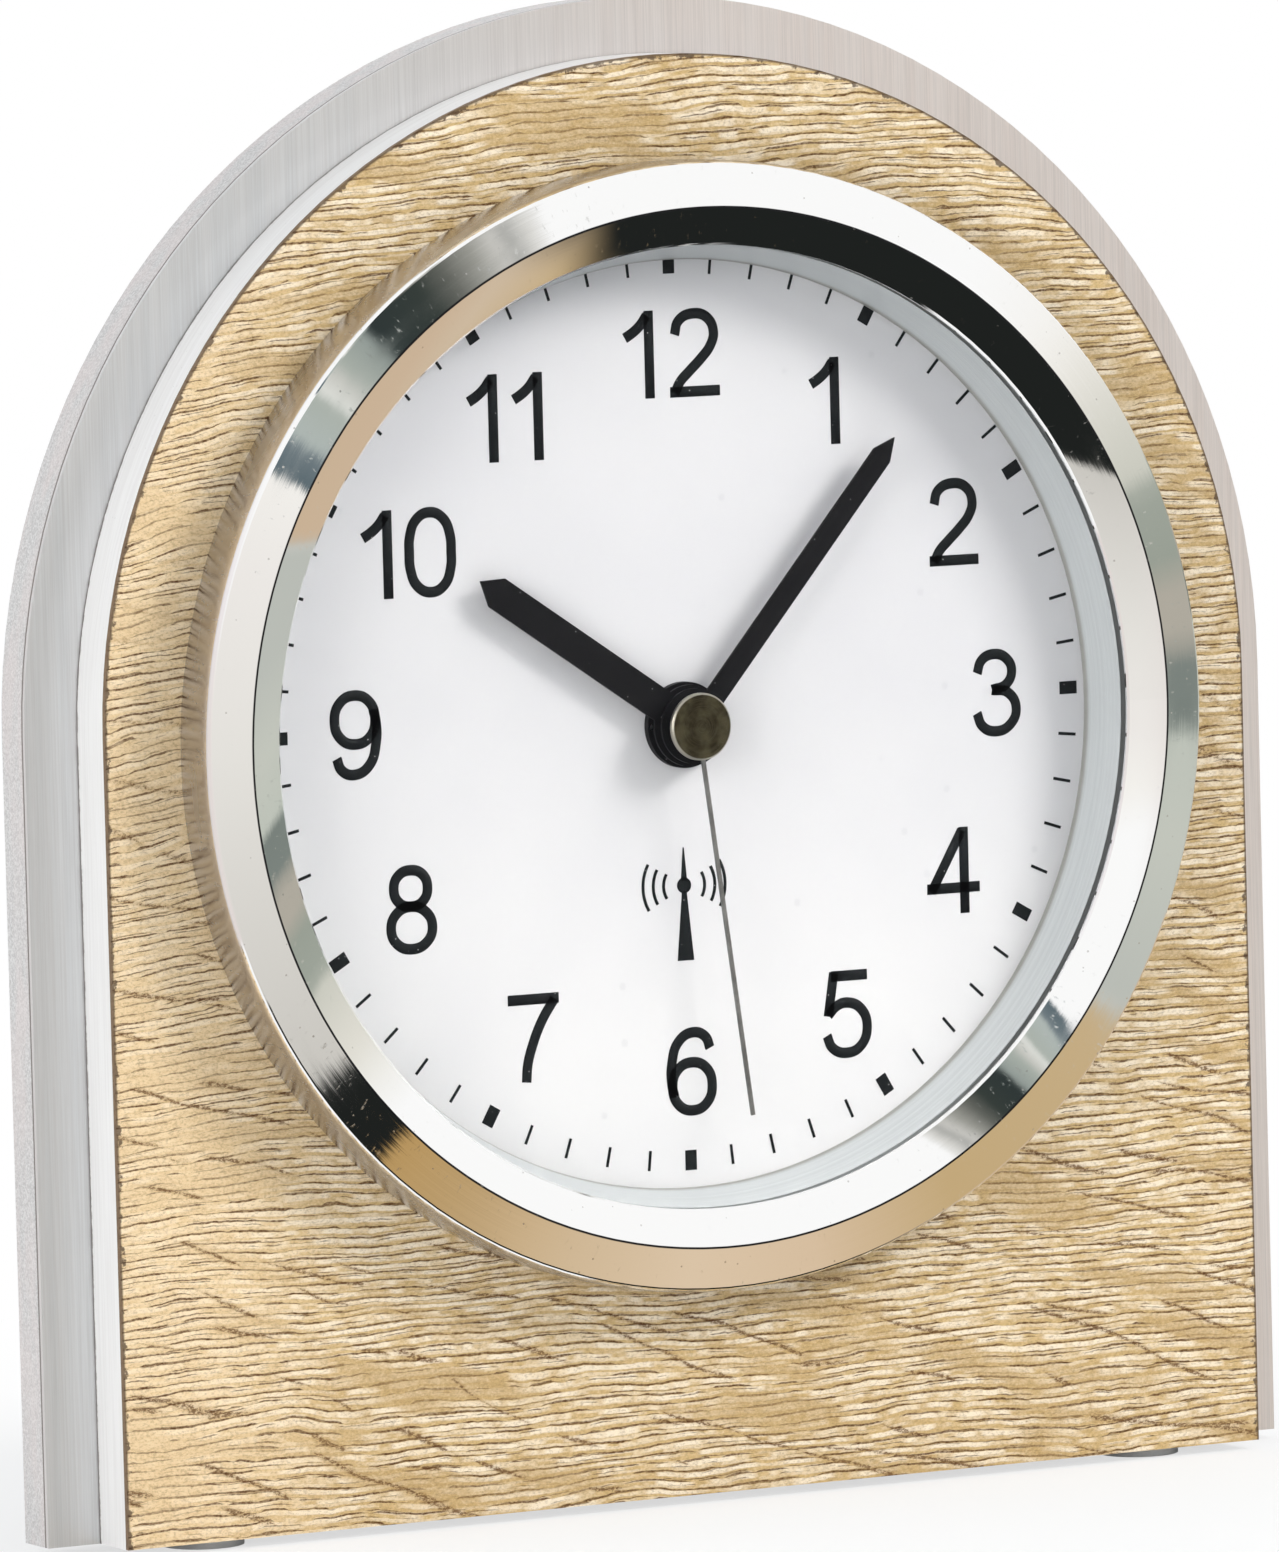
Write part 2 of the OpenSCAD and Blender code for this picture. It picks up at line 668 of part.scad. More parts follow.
// Motors: a magnet on a small pinion, in a stator plate that a coil drives
magnet_l = 2.2;
sleeve_share = 0.5;
sleeve_r = magnet_r * sleeve_share;
magnet_lift = 0.3;
function minute_magnet_y() = layer_y(1) + magnet_lift;
function second_magnet_y() = layer_y(3);
module rotor(at, y_pinion, y_magnet, phase) {
    wheel(at, y_pinion, train_pinion_teeth, fast_module, phase);
    rod_at(at, y_inside - pivot_in, y_bridge + pivot_in, arbor_r);
    rod_at(at, y_magnet, y_magnet + magnet_l, sleeve_r);
}
module rotor_magnet(at, y) {
    plate(y, magnet_l) translate(at) ring(magnet_r, sleeve_r);
}
module minute_rotor() {
    color("ivory") rotor(minute_rotor_at, layer_y(4), minute_magnet_y(), minute_rotor_phase);
}
module second_rotor() {
    color("ivory") rotor(second_rotor_at, rear_layer_y(1), second_magnet_y(), second_rotor_phase);
}
module minute_magnet() {
    color("dimgray") rotor_magnet(minute_rotor_at, minute_magnet_y());
}
module second_magnet() {
    color("dimgray") rotor_magnet(second_rotor_at, second_magnet_y());
}

stator_t = 0.8;
stator_gap = 0.5;
stator_arm = 3;
collar_wall = 1.6;
collar_r = magnet_r + stator_gap + collar_wall;
coil_r = 2.5;
coil_l = 12;
coil_core_r = 1;
coil_flange_t = 0.8;
coil_overhang = 2.4;
coil_top = 3;
coil_low = coil_top - coil_l - 2 * coil_flange_t - 2 * coil_overhang;
// The stator: a collar round the magnet, and two arms to the ends of the coil's core
module stator(at, y, side) {
    end_x = side * coil_x;
    arm_x = at[0];
    difference() {
        union() {
            plate(y, stator_t) difference() {
                union() {
                    translate(at) circle(r = collar_r);
                    translate([min(at[0], end_x + side * stator_arm / 2), axis_z + coil_top - stator_arm])
                        square([abs(end_x - at[0]) + stator_arm / 2, stator_arm]);
                    translate([arm_x - stator_arm / 2, axis_z + coil_low])
                        square([stator_arm, at[1] - axis_z - coil_low]);
                    translate([min(arm_x - side * stator_arm / 2, end_x + side * stator_arm / 2),
                        axis_z + coil_low])
                        square([abs(end_x - arm_x) + stator_arm, stator_arm]);
                }
                translate(at) circle(r = magnet_r + stator_gap);
            }
            translate([end_x, y + stator_t / 2, axis_z + coil_low + stator_arm / 2])
                cylinder(h = coil_top - coil_low - stator_arm, r = coil_core_r);
        }
    }
}
minute_stator_y = minute_magnet_y() + magnet_l / 2 - stator_t / 2;
second_stator_y = second_magnet_y() + magnet_l / 2 - stator_t / 2;
module motor_stators() {
    color("slategray") {
        stator(minute_rotor_at, minute_stator_y, -1);
        stator(second_rotor_at, second_stator_y, 1);
    }
}
module at_coils() {
    for (at = [[-coil_x, minute_stator_y], [coil_x, second_stator_y]])
        translate([at[0], at[1] + stator_t / 2, axis_z + coil_low + stator_arm + loose_gap]) children();
}
coil_wall = 0.4;
coil_body_l = coil_top - coil_low - 2 * stator_arm - 2 * loose_gap;
module motor_bobbins() {
    color("white") at_coils() difference() {
        union() {
            cylinder(h = coil_body_l, r = coil_core_r + fit_gap + coil_wall);
            cylinder(h = coil_flange_t, r = coil_flange_r);
            translate([0, 0, coil_body_l - coil_flange_t]) cylinder(h = coil_flange_t, r = coil_flange_r);
        }
        translate([0, 0, -over]) cylinder(h = coil_body_l + 2 * over, r = coil_core_r + fit_gap);
    }
}
module motor_windings() {
    color("chocolate") at_coils() translate([0, 0, coil_flange_t]) difference() {
        cylinder(h = coil_body_l - 2 * coil_flange_t, r = coil_r);
        translate([0, 0, -over]) cylinder(h = coil_body_l + 2 * over, r = coil_core_r + fit_gap + coil_wall);
    }
}

// Case. The front plate carries the posts that the inner plates are screwed to.
post_r = 2.2;
post_hole_r = 0.75;
small_screw_r = 0.95;
small_head_r = 1.9;
small_head_t = 1.1;
// Places of the posts and corners of the inner plates, in modules of the slow wheels, which they clear
post_shares = [[-35.7, 38.6], [34.3, -27.1], [-21.4, -38.6], [30, 44.3]];
post_at = post_shares * slow_module;
module at_posts() {
    for (p = post_at) translate([p[0], 0, axis_z + p[1]]) children();
}
corner_at = case_w / 2 - case_wall - corner_inset;
module at_corners() {
    for (x = [-1, 1], z = [-1, 1]) translate([x * corner_at, 0, axis_z + z * corner_at]) children();
}
bushing_flange_r = 5.6;
bushing_flange_t = 0.8;
front_pivots = [minute_b_at, minute_a_at, minute_rotor_at, second_rotor_at];
rim_t = 1.2;
rim_lap = 1.4;
module case_outline(inset) {
    translate([0, axis_z]) rounded_square(case_w - 2 * inset, case_w - 2 * inset, case_corner_r - inset);
}
module case_front() {
    rim_in = case_wall + fit_gap;
    color("black") difference() {
        union() {
            plate(y_case, front_plate_t) case_outline(0);
            plate(y_inside, rim_lap) difference() {
                case_outline(rim_in);
                case_outline(rim_in + rim_t);
            }
            at_posts() bar(0, 0, y_inside, y_middle - y_inside, post_r);
            at_corners() bar(0, 0, y_inside, corner_post_l, corner_post_r);
            rod_at(motion_at, y_inside, layer_y(1) + wheel_t + layer_gap / 2, motion_post_r);
            for (p = front_pivots) rod_at(p, y_inside, y_inside + boss_h - fit_gap, boss_r);
            for (p = minute_stator_posts) rod_at(p, y_inside, minute_stator_y, stator_post_r);
            for (p = second_stator_posts) rod_at(p, y_inside, second_stator_y, stator_post_r);
            for (x = [-1, 1]) translate([x * cradle_x - cradle_t / 2, y_inside, rod_z - rod_r - cradle_t])
                cube([cradle_t, rod_y - y_inside, 2 * (rod_r + cradle_t) - cradle_t / 2]);
        }
        along_x(rod_y, rod_z, rod_l + 2 * over, rod_r + fit_gap);
        rod_at(centre, y_case - over, y_inside + over, bushing_r + fit_gap);
        rod_at(centre, y_inside - bushing_flange_t, y_inside + over, bushing_flange_r + fit_gap);
        at_posts() bar(0, 0, y_inside, y_middle - y_inside + over, post_hole_r);
        at_corners() bar(0, 0, y_inside, corner_post_l + over, post_hole_r);
        for (p = front_pivots) rod_at(p, y_inside - pivot_l, y_inside + over, arbor_r + fit_gap);
    }
}
corner_post_l = 6;
cradle_x = 19;
cradle_t = 1.6;
stator_post_r = 1.3;
stator_low_z = axis_z + coil_low + stator_arm / 2;
stator_top_z = axis_z + coil_top - stator_arm / 2;
minute_stator_posts = [[minute_rotor_at[0], stator_low_z], [(minute_rotor_at[0] - coil_x) / 2, stator_top_z]];
second_stator_posts = [[second_rotor_at[0], stator_low_z], [(second_rotor_at[0] + coil_x) / 2, stator_top_z]];
button_pitch = 17;
button_rise = 14;
button_at = [for (i = [-1:1]) [i * button_pitch, button_rise]];
button_r = 2;
button_flange_r = 2.9;
button_flange_t = 0.8;
button_out = 1.4;
button_travel = 0.5;
bay_h = 2 * (cell_r + cell_gap);
bay_z = axis_z - case_w / 2 + case_wall + bay_wall + bay_h / 2;
bay_extra = 0.6;
bay_d = bay_h + bay_extra;
module case_rear() {
    y_shell = y_inside;
    color("black") difference() {
        union() {
            difference() {
                plate(y_shell, y_case_end - y_shell) case_outline(0);
                plate(y_shell - over, y_case_end - y_shell - case_wall + over) case_outline(case_wall);
            }
            translate([-bay_outer_l / 2, y_case_end - bay_d - bay_wall, bay_z - bay_h / 2 - bay_wall])
                cube([bay_outer_l, bay_d + bay_wall - fit_gap, bay_h + 2 * bay_wall]);
            at_corners() bar(0, 0, y_inside + corner_post_l, y_case_end - case_wall / 2 - y_inside
                - corner_post_l, corner_post_r);
        }
        translate([-bay_l / 2, y_case_end - bay_d, bay_z - bay_h / 2]) cube([bay_l, bay_d + over, bay_h]);
        at_corners() {
            bar(0, 0, y_inside, case_d, small_screw_r + fit_gap);
            bar(0, 0, y_case_end - small_head_t - loose_gap, case_d, small_head_r + loose_gap);
        }
        for (b = button_at) bar(b[0], axis_z + b[1], y_case_end - case_wall - over, case_wall + 2 * over,
            button_r + fit_gap);
    }
}
// A small cross-headed screw along Y with its head to the rear; y is the head's rear face
module case_screw(y, l, bite) {
    difference() {
        union() {
            bar(0, 0, y - small_head_t, small_head_t, small_head_r);
            bar(0, 0, y - l + bite, l - bite, small_screw_r);
            bar(0, 0, y - l, bite, post_hole_r - fit_gap / 2);
        }
        for (a = [0, 90]) rotate([0, a, 0]) translate([-small_screw_r, y - small_head_t / 2, -screw_slot_w / 4])
            cube([2 * small_screw_r, small_head_t, screw_slot_w / 2]);
    }
}
case_bite = 4.5;
module case_screws() {
    color("silver") at_corners() case_screw(y_case_end - loose_gap,
        y_case_end - loose_gap - y_inside - corner_post_l + case_bite, case_bite + fit_gap);
}
module centre_bushing() {
    color("gold") difference() {
        union() {
            rod_at(centre, y_dial - bushing_out, y_inside, bushing_r);
            rod_at(centre, y_inside - bushing_flange_t, y_inside, bushing_flange_r);
        }
        rod_at(centre, y_dial - bushing_out - over, y_inside + over, hour_tube_r + fit_gap);
    }
}
bushing_out = 1.2;
nut_t = 1;
nut_r = 5.5;
nut_pin_r = 0.45;
module centre_nut() {
    color("black") plate(y_dial - nut_t, nut_t) translate(centre) difference() {
        ring(nut_r, bushing_r + press_gap);
        for (side = [-1, 1]) translate([side * (nut_r + bushing_r) / 2, 0]) circle(r = nut_pin_r);
    }
}
washer_r = 9;
module rubber_washer() {
    color("dimgray") plate(y_dial_back, washer_t) translate(centre) ring(washer_r, bushing_r + fit_gap);
}

// Inner plates
middle_pivots = [minute_b_at, minute_a_at, second_a_at, centre];
middle_shares = [[-57.1, -11.4], [-35.7, 48.6], [30, 54.3], [44.3, 11.4], [37.1, -37.1], [-21.4, -48.6]];
module pivot_holes(points) {
    for (p = points) translate(p) circle(r = arbor_r + fit_gap);
}
module middle_plate() {
    color("dimgray") plate(y_middle, inner_plate_t) difference() {
        translate(centre) polygon(middle_shares * slow_module);
        pivot_holes(middle_pivots);
        for (p = post_at) translate(centre + p) circle(r = small_screw_r + fit_gap);
    }
}
bridge_pivots = [minute_rotor_at, second_rotor_at, second_a_at, centre];
bridge_shares = [[-77.1, 2.9], [-77.1, 22.9], [-40, 48.6], [30, 54.3], [65.7, 8.6], [65.7, -11.4], [40, -37.1],
    [-22.9, -48.6]];
module rear_bridge() {
    color("dimgray") difference() {
        union() {
            plate(y_bridge, inner_plate_t) translate(centre) polygon(bridge_shares * slow_module);
            at_posts() bar(0, 0, y_middle_end, y_bridge - y_middle_end + over / 2, post_r);
            at_pegs() {
                bar(0, 0, y_bridge, y_pcb - y_bridge, peg_shoulder_r);
                bar(0, 0, y_bridge, y_pcb + board_t + peg_head_t - y_bridge, peg_r);
                bar(0, 0, y_pcb + board_t, peg_head_t, peg_head_r);
            }
        }
        plate(y_bridge - over, inner_plate_t + 2 * over) pivot_holes(bridge_pivots);
        at_posts() bar(0, 0, y_middle_end - over, y_bridge_end - y_middle_end + 2 * over,
            small_screw_r + fit_gap);
    }
}
bridge_bite = 4;
peg_left = 8.5;
peg_right = 4.5;
peg_rise = 11.2;
peg_at = [[-peg_left, peg_rise], [peg_right, peg_rise]];
peg_r = 0.9;
peg_shoulder_r = 1.6;
peg_head_r = 1.4;
peg_head_t = 0.4;
module at_pegs() {
    for (p = peg_at) translate([p[0], 0, axis_z + p[1]]) children();
}
module bridge_screws() {
    color("silver") at_posts() case_screw(y_bridge_end + small_head_t,
        y_bridge_end + small_head_t - y_middle + bridge_bite, bridge_bite + fit_gap);
}

// Electronics
board_t = 1;
board_len = 60;
board_low = 8.5;
board_high = 24.5;
y_pcb = y_bridge_end + small_head_t + loose_gap;
module circuit_board() {
    color("darkgreen") plate(y_pcb, board_t) difference() {
        translate([-board_len / 2, axis_z + board_low]) square([board_len, board_high - board_low]);
        for (p = peg_at) translate(centre + p) circle(r = peg_r + fit_gap);
    }
}
chip_r = 4;
chip_h = 0.9;
chip_x = -9;
chip_sphere_r = (chip_r * chip_r + chip_h * chip_h) / (2 * chip_h);
module chip_cover() {
    color("black") translate([chip_x, y_pcb + board_t, axis_z + board_high - chip_r - over]) rotate([-90, 0, 0])
        intersection() {
            translate([0, 0, chip_h - chip_sphere_r]) sphere(r = chip_sphere_r);
            cylinder(h = chip_h, r = chip_r);
        }
}
can_r = 0.7;
can_l = 6;
can_x = 2;
can_pitch = 3;
module crystal_cans() {
    color("silver") for (i = [0, 1])
        translate([can_x + i * can_pitch, y_pcb + board_t + can_r, axis_z + board_high - can_l - over])
            cylinder(h = can_l, r = can_r);
}
dome_w = 4;
dome_h = 0.5;
module dome_switches() {
    color("silver") for (b = button_at) plate(y_pcb + board_t, dome_h) translate([b[0], axis_z + b[1]])
        circle(r = dome_w / 2);
}
rod_r = 4;
rod_l = 50;
rod_top_gap = 1.2;
rod_front_gap = 2.4;
rod_z = axis_z + case_w / 2 - case_wall - rod_r - rod_top_gap;
rod_y = y_inside + rod_r + rod_front_gap;
winding_l = 24;
winding_t = 0.9;
winding_r = rod_r + winding_t;
module along_x(y, z, l, r) {
    translate([-l / 2, y, z]) rotate([0, 90, 0]) cylinder(h = l, r = r);
}
module ferrite_rod() {
    color("dimgray") along_x(rod_y, rod_z, rod_l, rod_r);
}
bobbin_wall = 0.5;
bobbin_flange_t = 1;
module antenna_bobbin() {
    color("ivory") difference() {
        union() {
            along_x(rod_y, rod_z, winding_l + 2 * bobbin_flange_t, rod_r + bobbin_wall);
            for (x = [-1, 1]) translate([x * (winding_l + bobbin_flange_t) / 2, 0, 0])
                along_x(rod_y, rod_z, bobbin_flange_t, winding_r);
        }
        along_x(rod_y, rod_z, rod_l, rod_r + fit_gap);
    }
}
module antenna_winding() {
    color("chocolate") difference() {
        along_x(rod_y, rod_z, winding_l, winding_r - fit_gap);
        along_x(rod_y, rod_z, winding_l + over, rod_r + bobbin_wall);
    }
}

// Cell and its contacts
cell_y = y_case_end - bay_d + cell_r + cell_gap / 2;
cell_x = -bay_l / 2 + contact_t + nub_l + fit_gap;
module battery_cell() {
    color("steelblue") translate([cell_x, cell_y, bay_z]) rotate([0, 90, 0]) {
        cylinder(h = cell_l, r = cell_r);
        translate([0, 0, -nub_l]) cylinder(h = nub_l, r = nub_r);
    }
}
contact_h = 11;
contact_d = 11;
module contact_plate(x) {
    translate([x, cell_y - contact_d / 2, bay_z - contact_h / 2]) cube([contact_t, contact_d, contact_h]);
}
module positive_contact() {
    color("silver") contact_plate(-bay_l / 2);
}
module negative_contact() {
    // A plate with a pressed bow that pushes on the cell's flat end
    bow_at = bay_l / 2 - contact_t;
    color("silver") {
        contact_plate(bow_at);
        translate([bow_at - contact_bow + fit_gap, cell_y, bay_z]) rotate([0, 90, 0])
            difference() {
                cylinder(h = contact_bow, r1 = nub_r, r2 = nub_r + contact_bow / 2);
                translate([0, 0, contact_t]) cylinder(h = contact_bow, r1 = nub_r - contact_t,
                    r2 = nub_r - contact_t + contact_bow / 2);
            }
    }
}

// Buttons, which reach from the case's rear wall to the dome switches
module button(b) {
    y_wall = y_case_end - case_wall;
    y_switch = y_pcb + board_t + dome_h;
    color("dimgray") {
        bar(b[0], axis_z + b[1], y_wall - button_flange_t, case_wall + button_out + button_flange_t, button_r);
        bar(b[0], axis_z + b[1], y_wall - button_flange_t, button_flange_t, button_flange_r);
        bar(b[0], axis_z + b[1], y_switch + button_travel + fit_gap,
            y_wall - y_switch - button_travel - fit_gap - button_flange_t / 2, button_r / 2);
    }
}
module set_button() { button(button_at[0]); }
module receive_button() { button(button_at[1]); }
module reset_button() { button(button_at[2]); }

wood_veneer();
front_board();
aluminium_sheet();
back_board();
board_screws();
foot_bar();
foot_screws();
felt_pads();
bezel_ring();
glass();
glass_gasket();
dial_ring();
dial();
retaining_ring();
insert_seal();
hour_hand();
hour_collet();
minute_hand();
minute_collet();
second_hand();
second_cap();
case_front();
case_rear();
case_screws();
centre_bushing();
centre_nut();
rubber_washer();
middle_plate();
rear_bridge();
bridge_screws();
hour_wheel();
motion_wheel();
minute_wheel();
minute_second_wheel();
minute_first_wheel();
minute_rotor();
minute_magnet();
second_wheel();
second_arbor();
second_first_wheel();
second_rotor();
second_magnet();
motor_stators();
motor_bobbins();
motor_windings();
circuit_board();
chip_cover();
crystal_cans();
dome_switches();
ferrite_rod();
antenna_bobbin();
antenna_winding();
battery_cell();
positive_contact();
negative_contact();
set_button();
receive_button();
reset_button();
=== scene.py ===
"""Table clock with an arched wood front, a metal bezel and black hands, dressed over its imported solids."""

import json
from math import cos, pi, radians, sin

import bmesh
import bpy
from mathutils import Matrix, Vector


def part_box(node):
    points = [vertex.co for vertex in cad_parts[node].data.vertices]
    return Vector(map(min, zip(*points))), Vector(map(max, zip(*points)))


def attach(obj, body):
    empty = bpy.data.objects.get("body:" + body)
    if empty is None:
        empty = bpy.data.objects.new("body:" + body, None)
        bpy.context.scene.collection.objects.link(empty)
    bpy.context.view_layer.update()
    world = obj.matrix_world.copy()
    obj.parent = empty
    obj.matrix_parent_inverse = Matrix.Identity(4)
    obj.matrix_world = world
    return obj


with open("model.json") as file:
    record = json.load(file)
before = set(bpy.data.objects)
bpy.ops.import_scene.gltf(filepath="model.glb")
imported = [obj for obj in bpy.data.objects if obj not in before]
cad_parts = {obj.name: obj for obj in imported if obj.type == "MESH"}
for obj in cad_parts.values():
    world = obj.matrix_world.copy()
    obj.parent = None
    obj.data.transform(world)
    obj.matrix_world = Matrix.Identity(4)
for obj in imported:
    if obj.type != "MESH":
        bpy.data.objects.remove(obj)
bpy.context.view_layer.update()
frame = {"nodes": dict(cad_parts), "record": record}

nodes = frame["nodes"]
MM = 0.001

# Places read from the solids
veneer_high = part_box("wood_veneer")[1]
sheet_low, sheet_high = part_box("aluminium_sheet")
bezel_low, bezel_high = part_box("bezel_ring")
AXIS_Z = (bezel_low.z + bezel_high.z) / 2
WOOD_HALF = veneer_high.x
ARCH_Z = veneer_high.z - WOOD_HALF
DIAL_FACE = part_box("dial")[0].y
BEZEL_R = bezel_high.x

# Radii on the bezel and its ring, in millimetres: where the two slopes meet, the inner edge, and the ring's foot
CREST_R = 66.0
LIP_R = 61.2
RING_FOOT_R = 59.2

# The dial's print: its middle sits a little above the hands' axis, as in the photograph
PRINT_X = -0.35 * MM
PRINT_Z = AXIS_Z + 1.5 * MM
TICK_R = 57.2 * MM
INK_T = 0.02 * MM


# Building blocks of the finishes

def feed(tree, socket, value):
    """Links a socket, or sets a value, on an input socket."""
    if isinstance(value, bpy.types.NodeSocket):
        tree.links.new(value, socket)
    else:
        socket.default_value = value


def add(tree, kind, inputs=None, **settings):
    """A shader node with its settings and inputs."""
    node = tree.nodes.new("ShaderNode" + kind)
    for name, value in settings.items():
        setattr(node, name, value)
    for key, value in (inputs or {}).items():
        feed(tree, node.inputs[key], value)
    return node


def maths(tree, operation, a, b=0.0):
    return add(tree, "Math", {0: a, 1: b}, operation=operation).outputs[0]


def times(tree, a, b):
    return maths(tree, "MULTIPLY", a, b)


def plus(tree, a, b):
    return maths(tree, "ADD", a, b)


def minus(tree, a, b):
    return maths(tree, "SUBTRACT", a, b)


def larger(tree, a, b):
    return maths(tree, "MAXIMUM", a, b)


def unsigned(tree, value):
    """A value without its sign."""
    return maths(tree, "ABSOLUTE", value)


def ramp(tree, value, low, high, to_low=0.0, to_high=1.0):
    """A value turned softly from one range to another, and held at its ends."""
    inputs = {"Value": value, "From Min": low, "From Max": high, "To Min": to_low, "To Max": to_high}
    return add(tree, "MapRange", inputs, interpolation_type="SMOOTHSTEP").outputs["Result"]


def tint(tree, share, a, b):
    """Colour b laid over colour a by a share."""
    return add(tree, "Mix", {0: share, 6: a, 7: b}, data_type="RGBA").outputs[2]


def noise(tree, vector, scale, detail, roughness=0.5, distortion=0.0):
    """Cloudy values about 0.5; the scale is in clouds for each unit of the coordinates."""
    inputs = {"Vector": vector, "Scale": scale, "Detail": detail, "Roughness": roughness, "Distortion": distortion}
    return add(tree, "TexNoise", inputs).outputs["Fac"]


def placed(tree, vector, location=(0, 0, 0), rotation=(0, 0, 0), scale=(1, 1, 1)):
    """Coordinates moved, turned and stretched."""
    inputs = {"Vector": vector, "Location": location, "Rotation": rotation, "Scale": scale}
    return add(tree, "Mapping", inputs).outputs[0]


def millimetres(tree):
    """Object coordinates in millimetres."""
    own = add(tree, "TexCoord").outputs["Object"]
    return placed(tree, own, scale=(1 / MM, 1 / MM, 1 / MM))


def split(tree, vector):
    """The three parts of a vector."""
    return add(tree, "SeparateXYZ", {0: vector}).outputs


def relief(tree, height, distance, strength):
    """A normal from a height."""
    return add(tree, "Bump", {"Height": height, "Distance": distance, "Strength": strength}).outputs[0]


def finish_of(name, colour, roughness, metallic=0.0, **shader):
    """A material and its tree and shader, with plain values on the shader's sockets."""
    material = bpy.data.materials.new(name)
    material.use_nodes = True
    tree = material.node_tree
    principled = tree.nodes["Principled BSDF"]
    principled.inputs["Metallic"].default_value = metallic
    feed(tree, principled.inputs["Base Color"], colour)
    feed(tree, principled.inputs["Roughness"], roughness)
    for socket, value in shader.items():
        principled.inputs[socket.replace("_", " ")].default_value = value
    return material, tree, principled.inputs


def effect(name, inputs, outputs):
    """A node group with named inputs and outputs."""
    tree = bpy.data.node_groups.new(name, "ShaderNodeTree")
    for label, kind, value in inputs:
        socket = tree.interface.new_socket(label, in_out="INPUT", socket_type="NodeSocket" + kind)
        if value is not None:
            socket.default_value = value
    for label, kind in outputs:
        tree.interface.new_socket(label, in_out="OUTPUT", socket_type="NodeSocket" + kind)
    return tree, tree.nodes.new("NodeGroupInput").outputs, tree.nodes.new("NodeGroupOutput").inputs


def place_effect(tree, group, inputs):
    """The outputs of a shared effect placed in a material."""
    node = tree.nodes.new("ShaderNodeGroup")
    node.node_tree = group
    for key, value in inputs.items():
        feed(tree, node.inputs[key], value)
    return node.outputs


# Effects that several finishes share

def make_fine_specks():
    """Scattered tiny specks, such as dust on lacquer."""
    tree, given, out = effect("fine specks",
                              [("Vector", "Vector", None), ("Size", "Float", 1.0), ("Share", "Float", 0.1)],
                              [("Mask", "Float")])
    spots = add(tree, "TexVoronoi", {"Vector": given["Vector"], "Scale": maths(tree, "DIVIDE", 1.0, given["Size"])})
    chosen = maths(tree, "LESS_THAN", split(tree, spots.outputs["Color"])[0], given["Share"])
    near = ramp(tree, spots.outputs["Distance"], 0.12, 0.2, 1.0, 0.0)
    feed(tree, out["Mask"], times(tree, chosen, near))
    return tree


def make_moulded_grain():
    """The fine spark-eroded texture of moulded plastic."""
    tree, given, out = effect("moulded grain", [("Vector", "Vector", None), ("Size", "Float", 0.3)],
                              [("Height", "Float"), ("Tone", "Float")])
    fine = noise(tree, given["Vector"], maths(tree, "DIVIDE", 1.0, given["Size"]), 3.0, 0.6)
    wide = noise(tree, given["Vector"], 0.06, 3.0)
    feed(tree, out["Height"], fine)
    feed(tree, out["Tone"], wide)
    return tree


def make_brush_marks():
    """Long fine scratches along one direction, from coordinates stretched along it."""
    tree, given, out = effect("brush marks", [("Vector", "Vector", None)], [("Fine", "Float"), ("Broad", "Float")])
    feed(tree, out["Fine"], noise(tree, given["Vector"], 4.0, 5.0, 0.65))
    feed(tree, out["Broad"], noise(tree, given["Vector"], 0.6, 2.0, 0.5))
    return tree


def make_turned_marks():
    """Rings and distance from an axis along Y, as a lathe leaves them."""
    tree, given, out = effect("turned marks", [("Vector", "Vector", None)],
                              [("Radius", "Float"), ("Rings", "Float"), ("Along", "Vector")])
    x, y, z = split(tree, given["Vector"])
    flat = add(tree, "CombineXYZ", {0: x, 2: z}).outputs[0]
    radius = add(tree, "VectorMath", {0: flat}, operation="LENGTH").outputs["Value"]
    turn = maths(tree, "ARCTAN2", z, x)
    along = add(tree, "CombineXYZ", {0: radius, 1: y, 2: turn}).outputs[0]
    feed(tree, out["Radius"], radius)
    feed(tree, out["Along"], along)
    feed(tree, out["Rings"], noise(tree, placed(tree, along, scale=(5, 5, 0.4)), 1.0, 4.0, 0.7))
    return tree


fine_specks = make_fine_specks()
moulded_grain = make_moulded_grain()
brush_marks = make_brush_marks()
turned_marks = make_turned_marks()


# Wood, with its places and pitches in millimetres

GROUND_DARK, GROUND_PALE = (0.57, 0.385, 0.165, 1), (0.68, 0.475, 0.215, 1)
STRAND_CREAM, LEFT_PAINTED_LIGHT = (0.98, 0.84, 0.64, 1), (0.97, 0.735, 0.45, 1)
GRIT_DARK, GRIT_PALE = (0.28, 0.17, 0.06, 1), (0.93, 0.81, 0.58, 1)
RAY_BROWN, RAY_CORE = (0.42, 0.25, 0.085, 1), (0.15, 0.065, 0.018, 1)
LINE_BROWN, RIM_BROWN = (0.10, 0.035, 0.007, 1), (0.08, 0.045, 0.025, 1)
EDGE_DARK, EDGE_PALE = (0.10, 0.055, 0.03, 1), (0.30, 0.20, 0.11, 1)

# The pitch of the rows of grain, and half the width and the soft edge of a ray
COARSE_PITCH, FINE_PITCH = 1.3, 0.85
RAY_HALF, RAY_SOFT = 0.62, 0.55


def row_noise(tree, along, row, seed, stretch, step, detail=2.0, roughness=0.6):
    """Noise that runs along rows and starts anew in each row."""
    run = {0: times(tree, along, stretch), 1: times(tree, row, step), 2: seed}
    return noise(tree, add(tree, "CombineXYZ", run).outputs[0], 1.0, detail, roughness)


def rows_of(tree, height, pitch):
    """The number of the row at a height, and the share of the row that lies below it."""
    rows = maths(tree, "DIVIDE", height, pitch)
    return maths(tree, "FLOOR", rows), maths(tree, "FRACT", rows)


